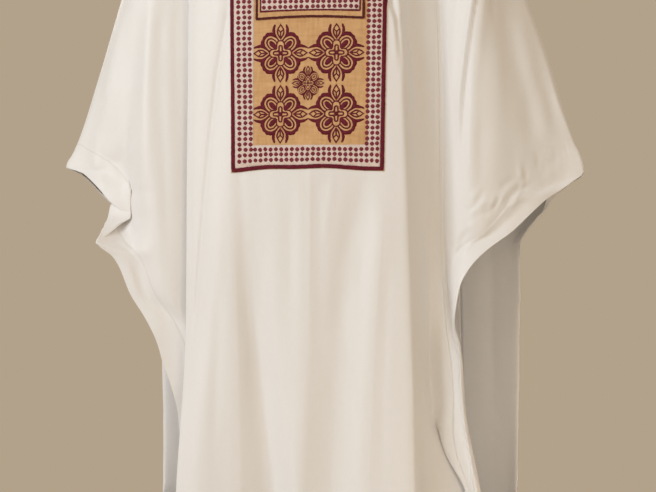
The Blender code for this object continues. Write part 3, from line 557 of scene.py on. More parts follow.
# =============================================================== creases
# Each crease: shape, height mm (minus is a trough), width mm, fade at the start and
# the end (share of its length), and its places (x, z) down the cloth.
FRONT_CREASES = (
    # the thin diagonal line down from beside the chest panel to the left fold
    ("lip", -2.6, 4.0, 0.05, 0.15, ((-112, -288), (-129, -384), (-136, -449), (-145, -546), (-150, -610),
                                      (-158, -716), (-161, -740))),
    ("round", -1.0, 9.0, 0.1, 0.3, ((-119, -288), (-128, -360), (-137, -435), (-145, -510), (-157, -638))),
    ("round", 1.2, 12.0, 0.2, 0.2, ((-110, -470), (-118, -560), (-130, -680), (-142, -820), (-150, -1000), (-158, -1200))),
    # the light line and the swell left of the wide hollow of the skirt, and that hollow
    ("knife", 0.75, 2.8, 0.3, 0.2, ((-100, -590), (-99, -640), (-96, -760), (-93, -900), (-92, -1010))),
    ("round", 3.2, 16.0, 0.3, 0.1, ((-101, -560), (-99, -700), (-96, -850), (-93, -1050), (-90, -1270))),
    ("round", -2.6, 15.0, 0.45, 0.02, ((-72, -780), (-58, -900), (-48, -1050), (-40, -1270))),
    ("round", -1.8, 9.0, 0.05, 0.5, ((-95, -500), (-92, -560), (-88, -640), (-82, -740))),
    ("round", -3.0, 14.0, 0.35, 0.05, ((-80, -580), (-76, -703), (-66, -799), (-54, -895), (-45, -1050), (-38, -1270))),
    ("knife", -1.3, 5.0, 0.35, 0.1, ((-80, -580), (-76, -703), (-66, -799), (-54, -895), (-45, -1050), (-38, -1200))),
    ("round", 0.9, 13.0, 0.3, 0.3, ((-50, -520), (-48, -620), (-40, -740), (-28, -860), (-20, -1000))),
    ("round", -0.8, 9.0, 0.3, 0.4, ((-30, -514), (-28, -600), (-24, -700))),
    # centre crease below the chest panel
    ("knife", 1.1, 2.2, 0.02, 0.5, ((-1.5, -470), (-1.5, -600), (-2, -700), (-4, -775))),
    ("round", -1.1, 10.0, 0.1, 0.4, ((9, -508), (10, -600), (10, -700), (8, -780))),
    ("round", 0.4, 9.0, 0.1, 0.4, ((-14, -508), (-14, -600), (-15, -700))),
    # the valley from the panel's right corner down towards the middle
    ("round", -2.0, 22.0, 0.12, 0.05, ((80, -498), (68, -535), (51, -610), (40, -684), (34, -735), (29, -832), (26, -922),
                                       (28, -1100), (30, -1270))),
    ("round", 0.9, 11.0, 0.2, 0.4, ((48, -506), (36, -560), (24, -620), (14, -700))),
    ("round", -0.8, 9.0, 0.2, 0.4, ((70, -506), (61, -550), (50, -600), (42, -640))),
    ("round", 0.9, 6.0, 0.2, 0.4, ((30, -508), (22, -560), (14, -630))),
    ("round", -1.1, 13.0, 0.4, 0.4, ((44, -640), (37, -690), (32, -740))),
    # ridge and thin crease down the right of the skirt
    ("rlip",  0.6, 7.0, 0.12, 0.1, ((93, -530), (92, -600), (87, -677), (84, -735), (80, -850), (78, -909), (78, -1060), (80, -1220))),
    ("round", 1.4, 13.0, 0.15, 0.1, ((92, -520), (88, -600), (82, -677), (76, -735), (68, -850), (62, -960), (62, -1200))),
    ("round", -0.9, 7.0, 0.2, 0.3, ((100, -600), (97, -700), (93, -800), (92, -950))),
    # the sharp turn beside the shaded side
    ("rlip",  0.9, 5.0, 0.08, 0.2, ((112, -320), (119, -380), (121, -420), (122, -482), (125, -590),
                                    (128, -690), (131, -800), (133, -900), (136, -1040))),
    # small folds that spread from the top of the chest panel
    ("round", -2.8, 5.0, 0.1, 0.5, ((99, -262), (104, -298), (113, -312), (121, -328), (129, -371), (133, -417), (136, -475))),
    ("round", -1.7, 3.6, 0.1, 0.5, ((98, -272), (103, -296), (109, -309), (113, -345), (115, -392))),
    ("round", 1.8, 4.2, 0.2, 0.5, ((104, -272), (115, -314), (121, -358), (124, -425))),
    ("round", 1.0, 3.4, 0.2, 0.5, ((96, -280), (104, -312), (107, -350), (108, -390))),
    ("round", -1.2, 6.0, 0.2, 0.5, ((140, -280), (141, -330), (142, -400))),
    ("round", -1.4, 7.0, 0.2, 0.5, ((-104, -210), (-109, -270), (-112, -320))),
    ("round", 1.0, 6.0, 0.2, 0.5, ((-118, -230), (-127, -300), (-134, -370))),
    # left side of the skirt
    ("round", 1.2, 12.0, 0.3, 0.3, ((-138, -640), (-146, -780), (-154, -920), (-158, -1100))),
    ("round", -1.0, 9.0, 0.3, 0.3, ((-122, -620), (-124, -760), (-132, -900))),
    # left sleeve: long swells that fall from the shoulder
    ("round", -3.6, 13.0, 0.1, 0.25, ((-232, -230), (-238, -300), (-244, -352), (-255, -432), (-266, -490), (-262, -526), (-254, -556))),
    ("round", 2.6, 11.0, 0.2, 0.15, ((-258, -280), (-276, -350), (-292, -420), (-302, -470), (-304, -500), (-298, -520))),
    ("round", 1.6, 12.0, 0.2, 0.2, ((-216, -240), (-224, -330), (-228, -420), (-228, -520), (-220, -620))),
    ("round", -1.1, 9.0, 0.2, 0.2, ((-205, -260), (-209, -316), (-212, -386), (-203, -482), (-196, -578), (-190, -660))),
    ("round", 0.3, 7.0, 0.2, 0.3, ((-196, -280), (-199, -360), (-194, -440), (-188, -520), (-184, -600))),
    ("round", -0.7, 5.0, 0.2, 0.3, ((-186, -260), (-189, -330), (-187, -410), (-184, -470))),
    ("round", -1.0, 7.0, 0.3, 0.4, ((-284, -390), (-298, -430), (-312, -464))),
    ("round", -0.9, 5.0, 0.3, 0.5, ((-256, -446), (-262, -474), (-271, -498))),
    ("round", -0.8, 4.0, 0.3, 0.3, ((-300, -478), (-288, -489), (-272, -496))),
    ("round", 0.9, 4.0, 0.3, 0.3, ((-286, -500), (-276, -508), (-266, -520))),
    ("round", 1.1, 12.0, 0.3, 0.3, ((-236, -560), (-228, -620), (-216, -690), (-206, -750))),
    ("round", -0.9, 6.0, 0.3, 0.3, ((-222, -600), (-212, -660), (-202, -720))),
    ("round", -1.6, 12.0, 0.2, 0.4, ((-276, -482), (-270, -500), (-266, -520), (-264, -532))),
    ("round", 1.6, 7.0, 0.2, 0.2, ((-300, -486), (-300, -500), (-294, -520), (-286, -534))),
    # right sleeve
    ("rlip", 6.5, 6.5, 0.02, 0.45, ((211, -235), (206, -285), (197, -352), (191, -404), (188, -439), (187, -500))),
    ("round", 2.2, 9.0, 0.1, 0.4, ((190, -245), (181, -330), (176, -400), (174, -470))),
    ("round", 2.8, 9.0, 0.1, 0.3, ((220, -240), (211, -330), (204, -400), (202, -470), (200, -560))),
    ("round", -2.6, 15.0, 0.1, 0.2, ((240, -250), (252, -330), (262, -380), (273, -417), (284, -490))),
    ("round", 1.3, 10.0, 0.2, 0.2, ((256, -290), (270, -352), (286, -420), (300, -482))),
    ("round", -0.5, 7.0, 0.2, 0.3, ((286, -370), (300, -420), (314, -466))),
    ("round", 1.6, 18.0, 0.3, 0.3, ((226, -330), (232, -400), (236, -470), (232, -530))),
    ("round", -1.6, 12.0, 0.3, 0.3, ((212, -430), (214, -490), (210, -550))),
    ("round", -1.3, 4.0, 0.2, 0.5, ((226, -240), (229, -280), (229, -320))),
    # puckers by the right hem
    ("round", -1.2, 3.2, 0.3, 0.3, ((243, -550), (252, -541), (262, -533), (273, -524))),
    ("round", 1.1, 3.2, 0.3, 0.3, ((248, -557), (260, -546), (272, -535))),
    ("round", 0.9, 2.8, 0.3, 0.3, ((240, -540), (252, -530), (262, -521))),
    ("round", -0.9, 2.6, 0.3, 0.3, ((236, -532), (246, -524), (258, -516))),
    ("round", -1.1, 3.2, 0.3, 0.3, ((197, -563), (207, -553), (221, -540))),
    ("round", 1.0, 3.2, 0.3, 0.3, ((194, -570), (206, -560), (222, -549), (236, -538))),
    ("round", -0.9, 2.8, 0.3, 0.3, ((205, -576), (216, -566), (232, -556))),
    ("round", 0.9, 3.0, 0.3, 0.3, ((196, -586), (208, -574), (222, -564))),
    ("round", 1.0, 2.4, 0.3, 0.4, ((201, -548), (209, -536), (219, -527))),
    ("round", -0.8, 2.2, 0.3, 0.4, ((206, -552), (214, -541), (223, -533))),
    ("round", 0.9, 2.2, 0.3, 0.4, ((212, -556), (219, -546), (227, -540))),
    ("round", 1.0, 2.4, 0.3, 0.3, ((222, -558), (229, -549), (234, -538))),
    ("round", -0.8, 2.2, 0.3, 0.3, ((227, -562), (235, -552), (241, -543))),
    ("round", 0.8, 2.2, 0.3, 0.3, ((234, -556), (240, -547), (244, -537))),
    ("round", 1.1, 2.4, 0.3, 0.3, ((254, -546), (262, -537), (267, -524), (270, -514))),
    ("round", -0.9, 2.2, 0.3, 0.3, ((260, -548), (267, -539), (272, -528))),
    ("round", 0.9, 2.4, 0.3, 0.4, ((262, -500), (264, -512), (262, -526))),
    ("round", -0.9, 2.4, 0.3, 0.4, ((268, -500), (270, -512), (268, -526))),
    ("round", -1.0, 3.2, 0.3, 0.4, ((284, -482), (286, -496), (284, -510))),
    ("round", -1.1, 3.0, 0.3, 0.3, ((288, -503), (299, -497), (312, -494))),
    ("round", 1.2, 3.6, 0.3, 0.3, ((290, -493), (300, -488), (308, -487))),
    ("round", -1.3, 4.0, 0.3, 0.3, ((184, -604), (193, -592), (204, -582))),
    ("round", 1.1, 3.6, 0.3, 0.3, ((190, -618), (200, -604), (212, -590))),
    ("round", -1.0, 3.4, 0.3, 0.3, ((180, -630), (186, -612), (190, -598))),
    # the flap at the lower right
    ("round", 1.6, 9.0, 0.2, 0.3, ((160, -720), (166, -780), (176, -830))),
    ("round", -1.4, 6.0, 0.2, 0.4, ((172, -650), (178, -700), (186, -750), (190, -800))),
    ("knife", -0.8, 3.0, 0.3, 0.3, ((184, -868), (192, -872), (200, -880))),
    ("knife", -0.7, 2.6, 0.3, 0.3, ((186, -882), (194, -884), (202, -892))),
    ("round", -1.0, 5.0, 0.3, 0.3, ((146, -500), (148, -600), (150, -690))),
)
BACK_CREASES = (
    ("knife", 1.1, 4.4, 0.05, 0.4, ((3, -330), (3, -440), (1, -560), (-2, -700), (-4, -820))),
    ("round", -3.0, 20.0, 0.2, 0.1, ((64, -240), (70, -400), (76, -600), (82, -800), (90, -1270))),
    ("round", -3.2, 20.0, 0.2, 0.1, ((-40, -240), (-46, -400), (-52, -640), (-60, -900), (-68, -1270))),
    ("round", 2.2, 17.0, 0.2, 0.2, ((104, -260), (112, -400), (118, -620), (126, -900), (134, -1200))),
    ("round", 2.2, 17.0, 0.2, 0.2, ((-96, -250), (-102, -420), (-106, -640), (-108, -900), (-114, -1200))),
    ("lip",   1.1, 6.0, 0.15, 0.3, ((128, -180), (133, -300), (135, -460), (138, -620), (141, -800))),
    ("lip",   1.1, 6.0, 0.15, 0.3, ((-126, -170), (-130, -290), (-131, -440), (-131, -600), (-130, -760))),
    ("round", -2.0, 12.0, 0.2, 0.3, ((30, -150), (36, -260), (40, -380), (46, -520))),
    ("round", -1.8, 11.0, 0.2, 0.3, ((-24, -170), (-28, -300), (-30, -420))),
    ("round", 1.8, 14.0, 0.3, 0.2, ((44, -640), (46, -800), (50, -1000), (56, -1270))),
    ("round", -2.0, 15.0, 0.3, 0.2, ((20, -760), (20, -900), (24, -1100), (26, -1270))),
    ("round", 1.6, 14.0, 0.3, 0.2, ((-22, -820), (-26, -980), (-30, -1270))),
    # sleeves
    ("round", -2.6, 14.0, 0.2, 0.2, ((214, -220), (232, -300), (246, -380), (258, -460))),
    ("round", 2.2, 14.0, 0.2, 0.2, ((228, -230), (252, -310), (272, -390), (290, -460))),
    ("round", -2.4, 13.0, 0.2, 0.2, ((-212, -220), (-228, -300), (-238, -380), (-246, -460))),
    ("round", 2.2, 13.0, 0.2, 0.2, ((-228, -230), (-250, -310), (-268, -390), (-284, -460))),
    ("knife", -1.3, 4.6, 0.1, 0.4, ((196, -230), (200, -300), (202, -380), (200, -460))),
    ("knife", -1.3, 4.6, 0.1, 0.4, ((-194, -240), (-198, -320), (-199, -400))),
    ("round", 1.5, 12.0, 0.3, 0.3, ((206, -480), (210, -600), (214, -740), (220, -900))),
    ("round", -1.5, 11.0, 0.3, 0.3, ((-206, -480), (-206, -620), (-204, -760))),
    ("round", -1.2, 3.4, 0.3, 0.3, ((262, -520), (254, -530), (244, -536))),
    ("round", -1.2, 3.4, 0.3, 0.3, ((-272, -505), (-262, -516), (-250, -522))),
)


def crease_height(x, z, table):
    """Sum of the creases at each (x, z)."""
    total = np.zeros_like(x)
    for shape, height, width, fade_in, fade_out, places in table:
        pts = np.array(places, dtype=float)
        zlo, zhi, reach = pts[:, 1].min() - 40, pts[:, 1].max() + 40, width * 4 + 6
        near = (z > zlo) & (z < zhi) & (x > pts[:, 0].min() - reach) & (x < pts[:, 0].max() + reach)
        if not near.any():
            continue
        px, pz = x[near], z[near]
        lengths = np.linalg.norm(np.diff(pts, axis=0), axis=1)
        starts = np.concatenate([[0.0], np.cumsum(lengths)])
        best = np.full(px.shape, 1e9)
        side = np.zeros_like(px)
        at = np.zeros_like(px)
        for k in range(len(pts) - 1):
            d = pts[k + 1] - pts[k]
            t = np.clip(((px - pts[k, 0]) * d[0] + (pz - pts[k, 1]) * d[1]) / (d @ d), 0, 1)
            ex, ez = px - pts[k, 0] - t * d[0], pz - pts[k, 1] - t * d[1]
            dist = np.hypot(ex, ez)
            closer = dist < best
            best = np.where(closer, dist, best)
            at = np.where(closer, starts[k] + t * lengths[k], at)
            side = np.where(closer, np.sign(d[1] * ex - d[0] * ez), side)
        share = at / starts[-1]
        # past its two ends a crease dies out along its own line
        fade = smooth(share / max(fade_in, 1e-3)) * smooth((1 - share) / max(fade_out, 1e-3))
        if shape == "round":
            h = np.exp(-(best / width) ** 2)
        elif shape == "knife":
            h = np.exp(-np.sqrt(best * best + 0.6) / width)
        else:                      # a lip: sharp on one side, falling away on the other
            signed = best * (side if shape == "rlip" else -side)
            h = np.where(signed > 0, np.exp(-signed / (width * 1.9)), np.exp(signed / 1.3))
        total[near] += height * h * fade
    return total


def lattice_noise(x, y, seed):
    """Smooth noise between -1 and 1 on a unit lattice."""
    def value(i, j):
        n = (i * 374761393 + j * 668265263 + seed * 1442695041) & 0x7FFFFFFF
        n = ((n ^ (n >> 13)) * 1274126177) & 0x7FFFFFFF
        n = n ^ (n >> 16)
        return (n & 0xFFFF) / 32767.5 - 1.0
    i, j = np.floor(x).astype(np.int64), np.floor(y).astype(np.int64)
    fx, fy = smooth(x - i), smooth(y - j)
    a, b, c, d = value(i, j), value(i + 1, j), value(i, j + 1), value(i + 1, j + 1)
    return (a * (1 - fx) + b * fx) * (1 - fy) + (c * (1 - fx) + d * fx) * fy


def slow_drift(x, z, seed):
    """Small unevenness of hanging cloth, longer down the robe than across."""
    return (1.0 * lattice_noise(x / 46.0, z / 190.0, seed)
            + 0.55 * lattice_noise(x / 21.0 + 7.3, z / 95.0, seed + 1)
            + 0.28 * lattice_noise(x / 9.5 + 3.1, z / 46.0, seed + 2))


# =============================================================== one mesh of all the cloth
def index_all():
    """Vertex numbers of the front and back grids, joined along the arm lines."""
    f = np.arange(NR * NF).reshape(NR, NF)
    b = NR * NF + np.arange(NR * NB).reshape(NR, NB)
    for r in range(NR):
        if RING[r]:
            b[r, -1] = f[r, 0]
            b[r, 0] = f[r, -1]
    return f, b


FI, BI = index_all()


def quads_of(index):
    a, b_, c, d = index[:-1, :-1], index[1:, :-1], index[1:, 1:], index[:-1, 1:]
    return np.stack([a.ravel(), b_.ravel(), c.ravel(), d.ravel()], axis=1)


ALL = np.vstack([F.reshape(-1, 3), B.reshape(-1, 3)])
ALL_QUADS = np.vstack([quads_of(FI), quads_of(BI)])


def vertex_normals(verts, quads):
    p = verts[quads]
    n = np.cross(p[:, 2] - p[:, 0], p[:, 3] - p[:, 1])
    out = np.zeros_like(verts)
    for k in range(4):
        np.add.at(out, quads[:, k], n)
    size = np.linalg.norm(out, axis=1, keepdims=True)
    return out / np.maximum(size, 1e-9)


def edge_distance(grid, index, column, reach):
    """Distance over the cloth from the open edge at a column, as far as `reach`."""
    rows, cols = grid.shape[:2]
    dist = np.full((rows, cols), 1e6)
    heap = []
    for r in range(rows):
        if TIP_Z - 0.1 >= LEVELS[r] >= SIDE_SEAM_Z + 0.1 or abs(LEVELS[r] - TIP_Z) < 0.1:
            dist[r, column] = 0.0
            heap.append((0.0, r, column))
    heapq.heapify(heap)
    steps = [(i, j) for i in range(-3, 4) for j in range(-3, 4) if math.gcd(i, j) == 1]
    while heap:
        d, r, c = heapq.heappop(heap)
        if d > dist[r, c] or d > reach:
            continue
        for i, j in steps:
            rr, cc = r + i, c + j
            if 0 <= rr < rows and 0 <= cc < cols:
                a, b_ = grid[r, c], grid[rr, cc]
                nd = d + math.sqrt((a[0] - b_[0]) ** 2 + (a[1] - b_[1]) ** 2 + (a[2] - b_[2]) ** 2)
                if nd < dist[rr, cc] - 1e-9:
                    dist[rr, cc] = nd
                    heapq.heappush(heap, (nd, rr, cc))
    return dist


NORMAL = vertex_normals(ALL, ALL_QUADS)
HEM_F = np.minimum(edge_distance(F, FI, 0, 60.0), edge_distance(F, FI, NF - 1, 60.0))
HEM_B = np.minimum(edge_distance(B, BI, 0, 60.0), edge_distance(B, BI, NB - 1, 60.0))


def side_shape(grid, hem, table, seed):
    """Height of the creases, drift and hems over one side of the cloth."""
    x, z = grid[..., 0], grid[..., 2]
    h = crease_height(x, z, table)
    calm = smooth((-z - 8.0) / 120.0)
    h += 0.55 * calm * slow_drift(x, z, seed)
    h += 0.45 * calm * smooth((-z - 560.0) / 500.0) * slow_drift(x * 0.6, z, seed + 9)
    # a turned hem: a low step at its stitching, with small puckers across it
    near = np.exp(-((hem - CUFF_HEM) / 7.0) ** 2)
    ripple = lattice_noise(z / 7.5 + x / 11.0, hem / 60.0, seed + 4)
    h += 0.42 * near * ripple * (hem < 59)
    # the stitching hardly shows on the lower flap at the right
    plain = 1.0 - smooth((x - 60.0) / 60.0) * smooth((-660.0 - z) / 50.0) * smooth((z + 1010.0) / 40.0)
    faint = 1.0 - 0.45 * smooth((x - 60.0) / 60.0)
    h += -0.40 * plain * faint * np.exp(-((hem - CUFF_HEM) / 1.5) ** 2)
    h += 0.28 * plain * smooth((CUFF_HEM + 1.2 - hem) / 2.4)
    h += 0.5 * np.exp(-(hem / 10.0) ** 2) * lattice_noise(z / 26.0 + 2.0, x / 30.0, seed + 5)
    foot = z - HEM_Z
    h += -0.5 * np.exp(-((foot - FOOT_HEM) / 1.6) ** 2) + 0.25 * smooth((FOOT_HEM + 1.2 - foot) / 2.4)
    # nothing moves on the shoulder line
    lv = np.array(LEVELS)
    return h * np.where(lv >= 0, smooth(lv / 0.22), 1.0)[:, None]


DF = side_shape(F, HEM_F, FRONT_CREASES, 11)
DB = side_shape(B, HEM_B, BACK_CREASES, 71)
shift = np.zeros(len(ALL))
shift[:NR * NF] = DF.ravel()
shift[NR * NF:] = DB.ravel()
for r in range(NR):
    if RING[r]:
        for i, j in ((FI[r, 0], NR * NF + r * NB + NB - 1), (FI[r, -1], NR * NF + r * NB)):
            shift[i] = 0.5 * (shift[i] + shift[j])
ALL = ALL + NORMAL * shift[:, None]
NORMAL = vertex_normals(ALL, ALL_QUADS)
FRONT = ALL[FI]                      # the finished cloth, as grids of points
BACK = ALL[BI]
FRONT_N, BACK_N = NORMAL[FI], NORMAL[BI]


# =============================================================== meshes
def new_mesh(name, verts_mm, faces, mat):
    """A mesh object from millimetre points and faces, smooth shaded."""
    mesh = bpy.data.meshes.new(name)
    mesh.from_pydata([tuple(v) for v in np.asarray(verts_mm) / 1000.0], [], [tuple(int(i) for i in f) for f in faces])
    mesh.validate()
    mesh.shade_smooth()
    obj = bpy.data.objects.new(name, mesh)
    bpy.context.scene.collection.objects.link(obj)
    mesh.materials.append(mat)
    return obj


def store(obj, name, values):
    layer = obj.data.attributes.new(name, "FLOAT", "POINT")
    layer.data.foreach_set("value", np.asarray(values, dtype=np.float32))


def walled(verts, normal, quads, wall):
    """Two skins `wall` apart and the rim between them.  Returns points, faces and the
    number of each point's own cloth point."""
    n = len(verts)
    half = (np.asarray(wall) / 2.0).reshape(-1, 1)
    outer, inner = verts + normal * half, verts - normal * half
    faces = [list(q) for q in quads] + [[i + n for i in reversed(q)] for q in quads]
    seen = {}
    for q in quads:
        for k in range(len(q)):
            a, b = int(q[k]), int(q[(k + 1) % len(q)])
            if a != b:
                seen[(a, b)] = True
    for (a, b) in seen:
        if (b, a) not in seen:
            faces.append([b, a, a + n, b + n])
    return np.vstack([outer, inner]), faces, np.concatenate([np.arange(n), np.arange(n)])


def tidy(quads):
    """Faces without repeated corners."""
    out = []
    for q in quads:
        face = [int(v) for k, v in enumerate(q) if v != q[k - 1]]
        if len(set(face)) >= 3:
            out.append(face)
    return out


def cut_piece(parts):
    """Points, normals, faces and hem distance of a piece.  Each part is
    (side, first column, last column, pull first, pull last)."""
    verts, norms, hems, faces = [], [], [], []
    where = {}
    for side, first, last, pull_first, pull_last in parts:
        index = FI if side == "front" else BI
        grid, ngrid = (FRONT, FRONT_N) if side == "front" else (BACK, BACK_N)
        hem = HEM_F if side == "front" else HEM_B
        own = np.zeros((NR, last - first + 1), dtype=np.int64)
        for r in range(NR):
            for c in range(first, last + 1):
                key = int(index[r, c])
                if key not in where:
                    p = grid[r, c].copy()
                    other = None
                    if c == first and pull_first:
                        other = grid[r, c + 1]
                    if c == last and pull_last:
                        other = grid[r, c - 1]
                    if other is not None:
                        run = other - p
                        p = p + run / max(np.linalg.norm(run), 1e-6) * 0.04
                    if r == 0 and not (c in (0, (NF if side == "front" else NB) - 1)):
                        run = grid[1, c] - grid[0, c]
                        p = p + run / max(np.linalg.norm(run), 1e-6) * 0.22
                    where[key] = len(verts)
                    verts.append(p)
                    norms.append(ngrid[r, c])
                    hems.append(min(hem[r, c], (grid[r, c, 2] - HEM_Z) * CUFF_HEM / FOOT_HEM))
                own[r, c - first] = where[key]
        faces += tidy(quads_of(own))
    return np.array(verts), np.array(norms), faces, np.array(hems)


# =============================================================== materials
def node(tree, kind, **inputs):
    made = tree.nodes.new(kind)
    for key, value in inputs.items():
        if key in ("operation", "data_type", "blend_type", "noise_dimensions", "wave_type",
                   "bands_direction", "wave_profile", "feature", "distance_kind", "attribute_name",
                   "attribute_type", "interpolation_type"):
            setattr(made, {"distance_kind": "distance"}.get(key, key), value)
        else:
            made.inputs[key.replace("_", " ")].default_value = value
    return made


def link(tree, a, out, b, into):
    tree.links.new(a.outputs[out], b.inputs[into])


def colour_mix(tree, fac, a, b):
    """A mix of two colours by an output (node, socket)."""
    m = tree.nodes.new("ShaderNodeMix")
    m.data_type = "RGBA"
    if isinstance(fac, tuple):
        tree.links.new(fac[0].outputs[fac[1]], m.inputs[0])
    else:
        m.inputs[0].default_value = fac
    for value, slot_ in ((a, 6), (b, 7)):
        if isinstance(value, bpy.types.Node):
            tree.links.new(value.outputs[2], m.inputs[slot_])
        else:
            m.inputs[slot_].default_value = (*value, 1.0)
    return m


def ranged(tree, source, out, low, high, to_low=0.0, to_high=1.0):
    m = tree.nodes.new("ShaderNodeMapRange")
    tree.links.new(source.outputs[out], m.inputs[0])
    for k, v in enumerate((low, high, to_low, to_high)):
        m.inputs[k + 1].default_value = v
    return m


def scaled_place(tree, scale, turn=0.0):
    """Object coordinates in units of 1/scale metres."""
    place = tree.nodes.new("ShaderNodeTexCoord")
    m = tree.nodes.new("ShaderNodeMapping")
    m.inputs["Scale"].default_value = scale
    m.inputs["Rotation"].default_value = (0, turn, 0)
    link(tree, place, "Object", m, "Vector")
    return m


def noise(tree, scale, detail=2.0, rough=0.5, stretch=(1, 1, 1)):
    n = tree.nodes.new("ShaderNodeTexNoise")
    n.inputs["Scale"].default_value = scale
    n.inputs["Detail"].default_value = detail
    n.inputs["Roughness"].default_value = rough
    link(tree, scaled_place(tree, stretch), "Vector", n, "Vector")
    return n


def threads(tree, per_metre, direction, wobble=0.6):
    """Parallel threads across a direction."""
    w = tree.nodes.new("ShaderNodeTexWave")
    w.wave_type = "BANDS"
    w.bands_direction = direction
    w.wave_profile = "SIN"
    w.inputs["Scale"].default_value = per_metre * math.pi / 10.0
    w.inputs["Distortion"].default_value = wobble
    w.inputs["Detail"].default_value = 1.0
    w.inputs["Detail Scale"].default_value = 0.4
    link(tree, scaled_place(tree, (1, 1, 1)), "Vector", w, "Vector")
    return w


def maths(tree, op, a, b=None, clamp=False):
    m = tree.nodes.new("ShaderNodeMath")
    m.operation = op
    m.use_clamp = clamp
    for k, v in enumerate((a, b)):
        if v is None:
            continue
        if isinstance(v, tuple):
            tree.links.new(v[0].outputs[v[1]], m.inputs[k])
        else:
            m.inputs[k].default_value = v
    return m


def bumped(tree, height, shader, strength, distance, normal=None):
    b = tree.nodes.new("ShaderNodeBump")
    b.inputs["Strength"].default_value = strength
    b.inputs["Distance"].default_value = distance
    tree.links.new(height[0].outputs[height[1]], b.inputs["Height"])
    if normal is not None:
        tree.links.new(normal.outputs[0], b.inputs["Normal"])
    if shader is not None:
        tree.links.new(b.outputs[0], shader.inputs["Normal"])
    return b


def new_material(name):
    mat = bpy.data.materials.new(name)
    mat.use_nodes = True
    return mat, mat.node_tree, mat.node_tree.nodes["Principled BSDF"]


def white_cloth(name):
    """Smooth off-white cotton with a soft lustre, a close weave and a few slubs."""
    mat, tree, shader = new_material(name)
    cloud = noise(tree, 9.0, 3.0, 0.55, (1, 1, 0.45))
    tone = ranged(tree, cloud, 0, 0.3, 0.7)
    fleck = noise(tree, 420.0, 2.0, 0.6, (1, 1, 0.22))
    fine = ranged(tree, fleck, 0, 0.25, 0.75)
    base = colour_mix(tree, (tone, 0), (0.832, 0.830, 0.836), (0.864, 0.864, 0.874))
    low = colour_mix(tree, (fine, 0), (0.800, 0.775, 0.735), (0.880, 0.862, 0.834))
    both = colour_mix(tree, 0.18, base, low)
    # along a turned hem the cloth is doubled, and a darker line runs along its stitching: painted shade of the
    # stitching groove
    hem = tree.nodes.new("ShaderNodeAttribute")
    hem.attribute_name = "hem"
    line = maths(tree, "SUBTRACT", (hem, 2), CUFF_HEM / 100.0)
    line = maths(tree, "ABSOLUTE", (line, 0))
    line = ranged(tree, line, 0, 0.0, 0.016, 0.30, 0.0)
    stitch_groove_shade = colour_mix(tree, (line, 0), both, (0.60, 0.555, 0.49))
    tree.links.new(stitch_groove_shade.outputs[2], shader.inputs["Base Color"])
    shader.inputs["Roughness"].default_value = 0.46
    shader.inputs["Specular IOR Level"].default_value = 0.42
    shader.inputs["Sheen Weight"].default_value = 0.22
    shader.inputs["Sheen Roughness"].default_value = 0.45
    shader.inputs["Sheen Tint"].default_value = (1.0, 0.985, 0.96, 1.0)
    warp = threads(tree, 1000.0, "X")
    weft = threads(tree, 920.0, "Z")
    weave = maths(tree, "ADD", (warp, 1), (weft, 1))
    slub = maths(tree, "MULTIPLY", (fine, 0), 0.8)
    weave = maths(tree, "ADD", (weave, 0), (slub, 0))
    first = bumped(tree, (weave, 0), None, 0.10, 0.0002)
    soft = noise(tree, 55.0, 3.0, 0.55, (1, 1, 0.35))
    bumped(tree, (soft, 0), shader, 0.16, 0.0008, first)
    return mat


def woven_tan(name):
    """Tan ground cloth of the chest panel, hand woven, with slubs both ways."""
    mat, tree, shader = new_material(name)
    cloud = noise(tree, 26.0, 3.0, 0.6, (1, 1, 1))
    tone = ranged(tree, cloud, 0, 0.3, 0.7)
    across = noise(tree, 260.0, 3.0, 0.6, (0.16, 1, 1.0))
    down = noise(tree, 240.0, 3.0, 0.6, (1.0, 1, 0.18))
    slub = maths(tree, "ADD", (across, 0), (down, 0))
    slub = ranged(tree, slub, 0, 0.75, 1.25)
    base = colour_mix(tree, (tone, 0), (0.690, 0.405, 0.190), (0.790, 0.485, 0.245))
    yarn = colour_mix(tree, (slub, 0), (0.470, 0.245, 0.090), (0.790, 0.500, 0.245))
    both = colour_mix(tree, 0.42, base, yarn)
    tree.links.new(both.outputs[2], shader.inputs["Base Color"])
    shader.inputs["Roughness"].default_value = 0.78
    shader.inputs["Specular IOR Level"].default_value = 0.3
    shader.inputs["Sheen Weight"].default_value = 0.25
    shader.inputs["Sheen Roughness"].default_value = 0.5
    warp = threads(tree, 1150.0, "X", 1.2)
    weft = threads(tree, 1050.0, "Z", 1.2)
    weave = maths(tree, "ADD", (warp, 1), (weft, 1))
    weave = maths(tree, "ADD", (weave, 0), (slub, 0))
    bumped(tree, (weave, 0), shader, 0.45, 0.0004)
    return mat


def silk_thread(name, dark, mid, light, direction="X", pitch=1250.0, rough=0.55):
    """Close embroidery: thread lines with lighter and darker strands."""
    mat, tree, shader = new_material(name)
    cloud = noise(tree, 210.0, 3.0, 0.65, (1, 1, 1))
    tone = ranged(tree, cloud, 0, 0.32, 0.70)
    strand = noise(tree, 900.0, 2.0, 0.6, (0.25, 1, 1) if direction == "Z" else (1, 1, 0.25))
    fine = ranged(tree, strand, 0, 0.3, 0.7)
    base = colour_mix(tree, (tone, 0), dark, mid)
    both = colour_mix(tree, (maths(tree, "MULTIPLY", (fine, 0), 0.42), 0), base, light)
    tree.links.new(both.outputs[2], shader.inputs["Base Color"])
    shader.inputs["Roughness"].default_value = rough
    shader.inputs["Specular IOR Level"].default_value = 0.22
    shader.inputs["Sheen Weight"].default_value = 0.05
    shader.inputs["Sheen Roughness"].default_value = 0.4
    lines = threads(tree, pitch, direction, 1.6)
    lines = maths(tree, "ADD", (lines, 1), (fine, 0))
    bumped(tree, (lines, 0), shader, 0.55, 0.0004)
    return mat


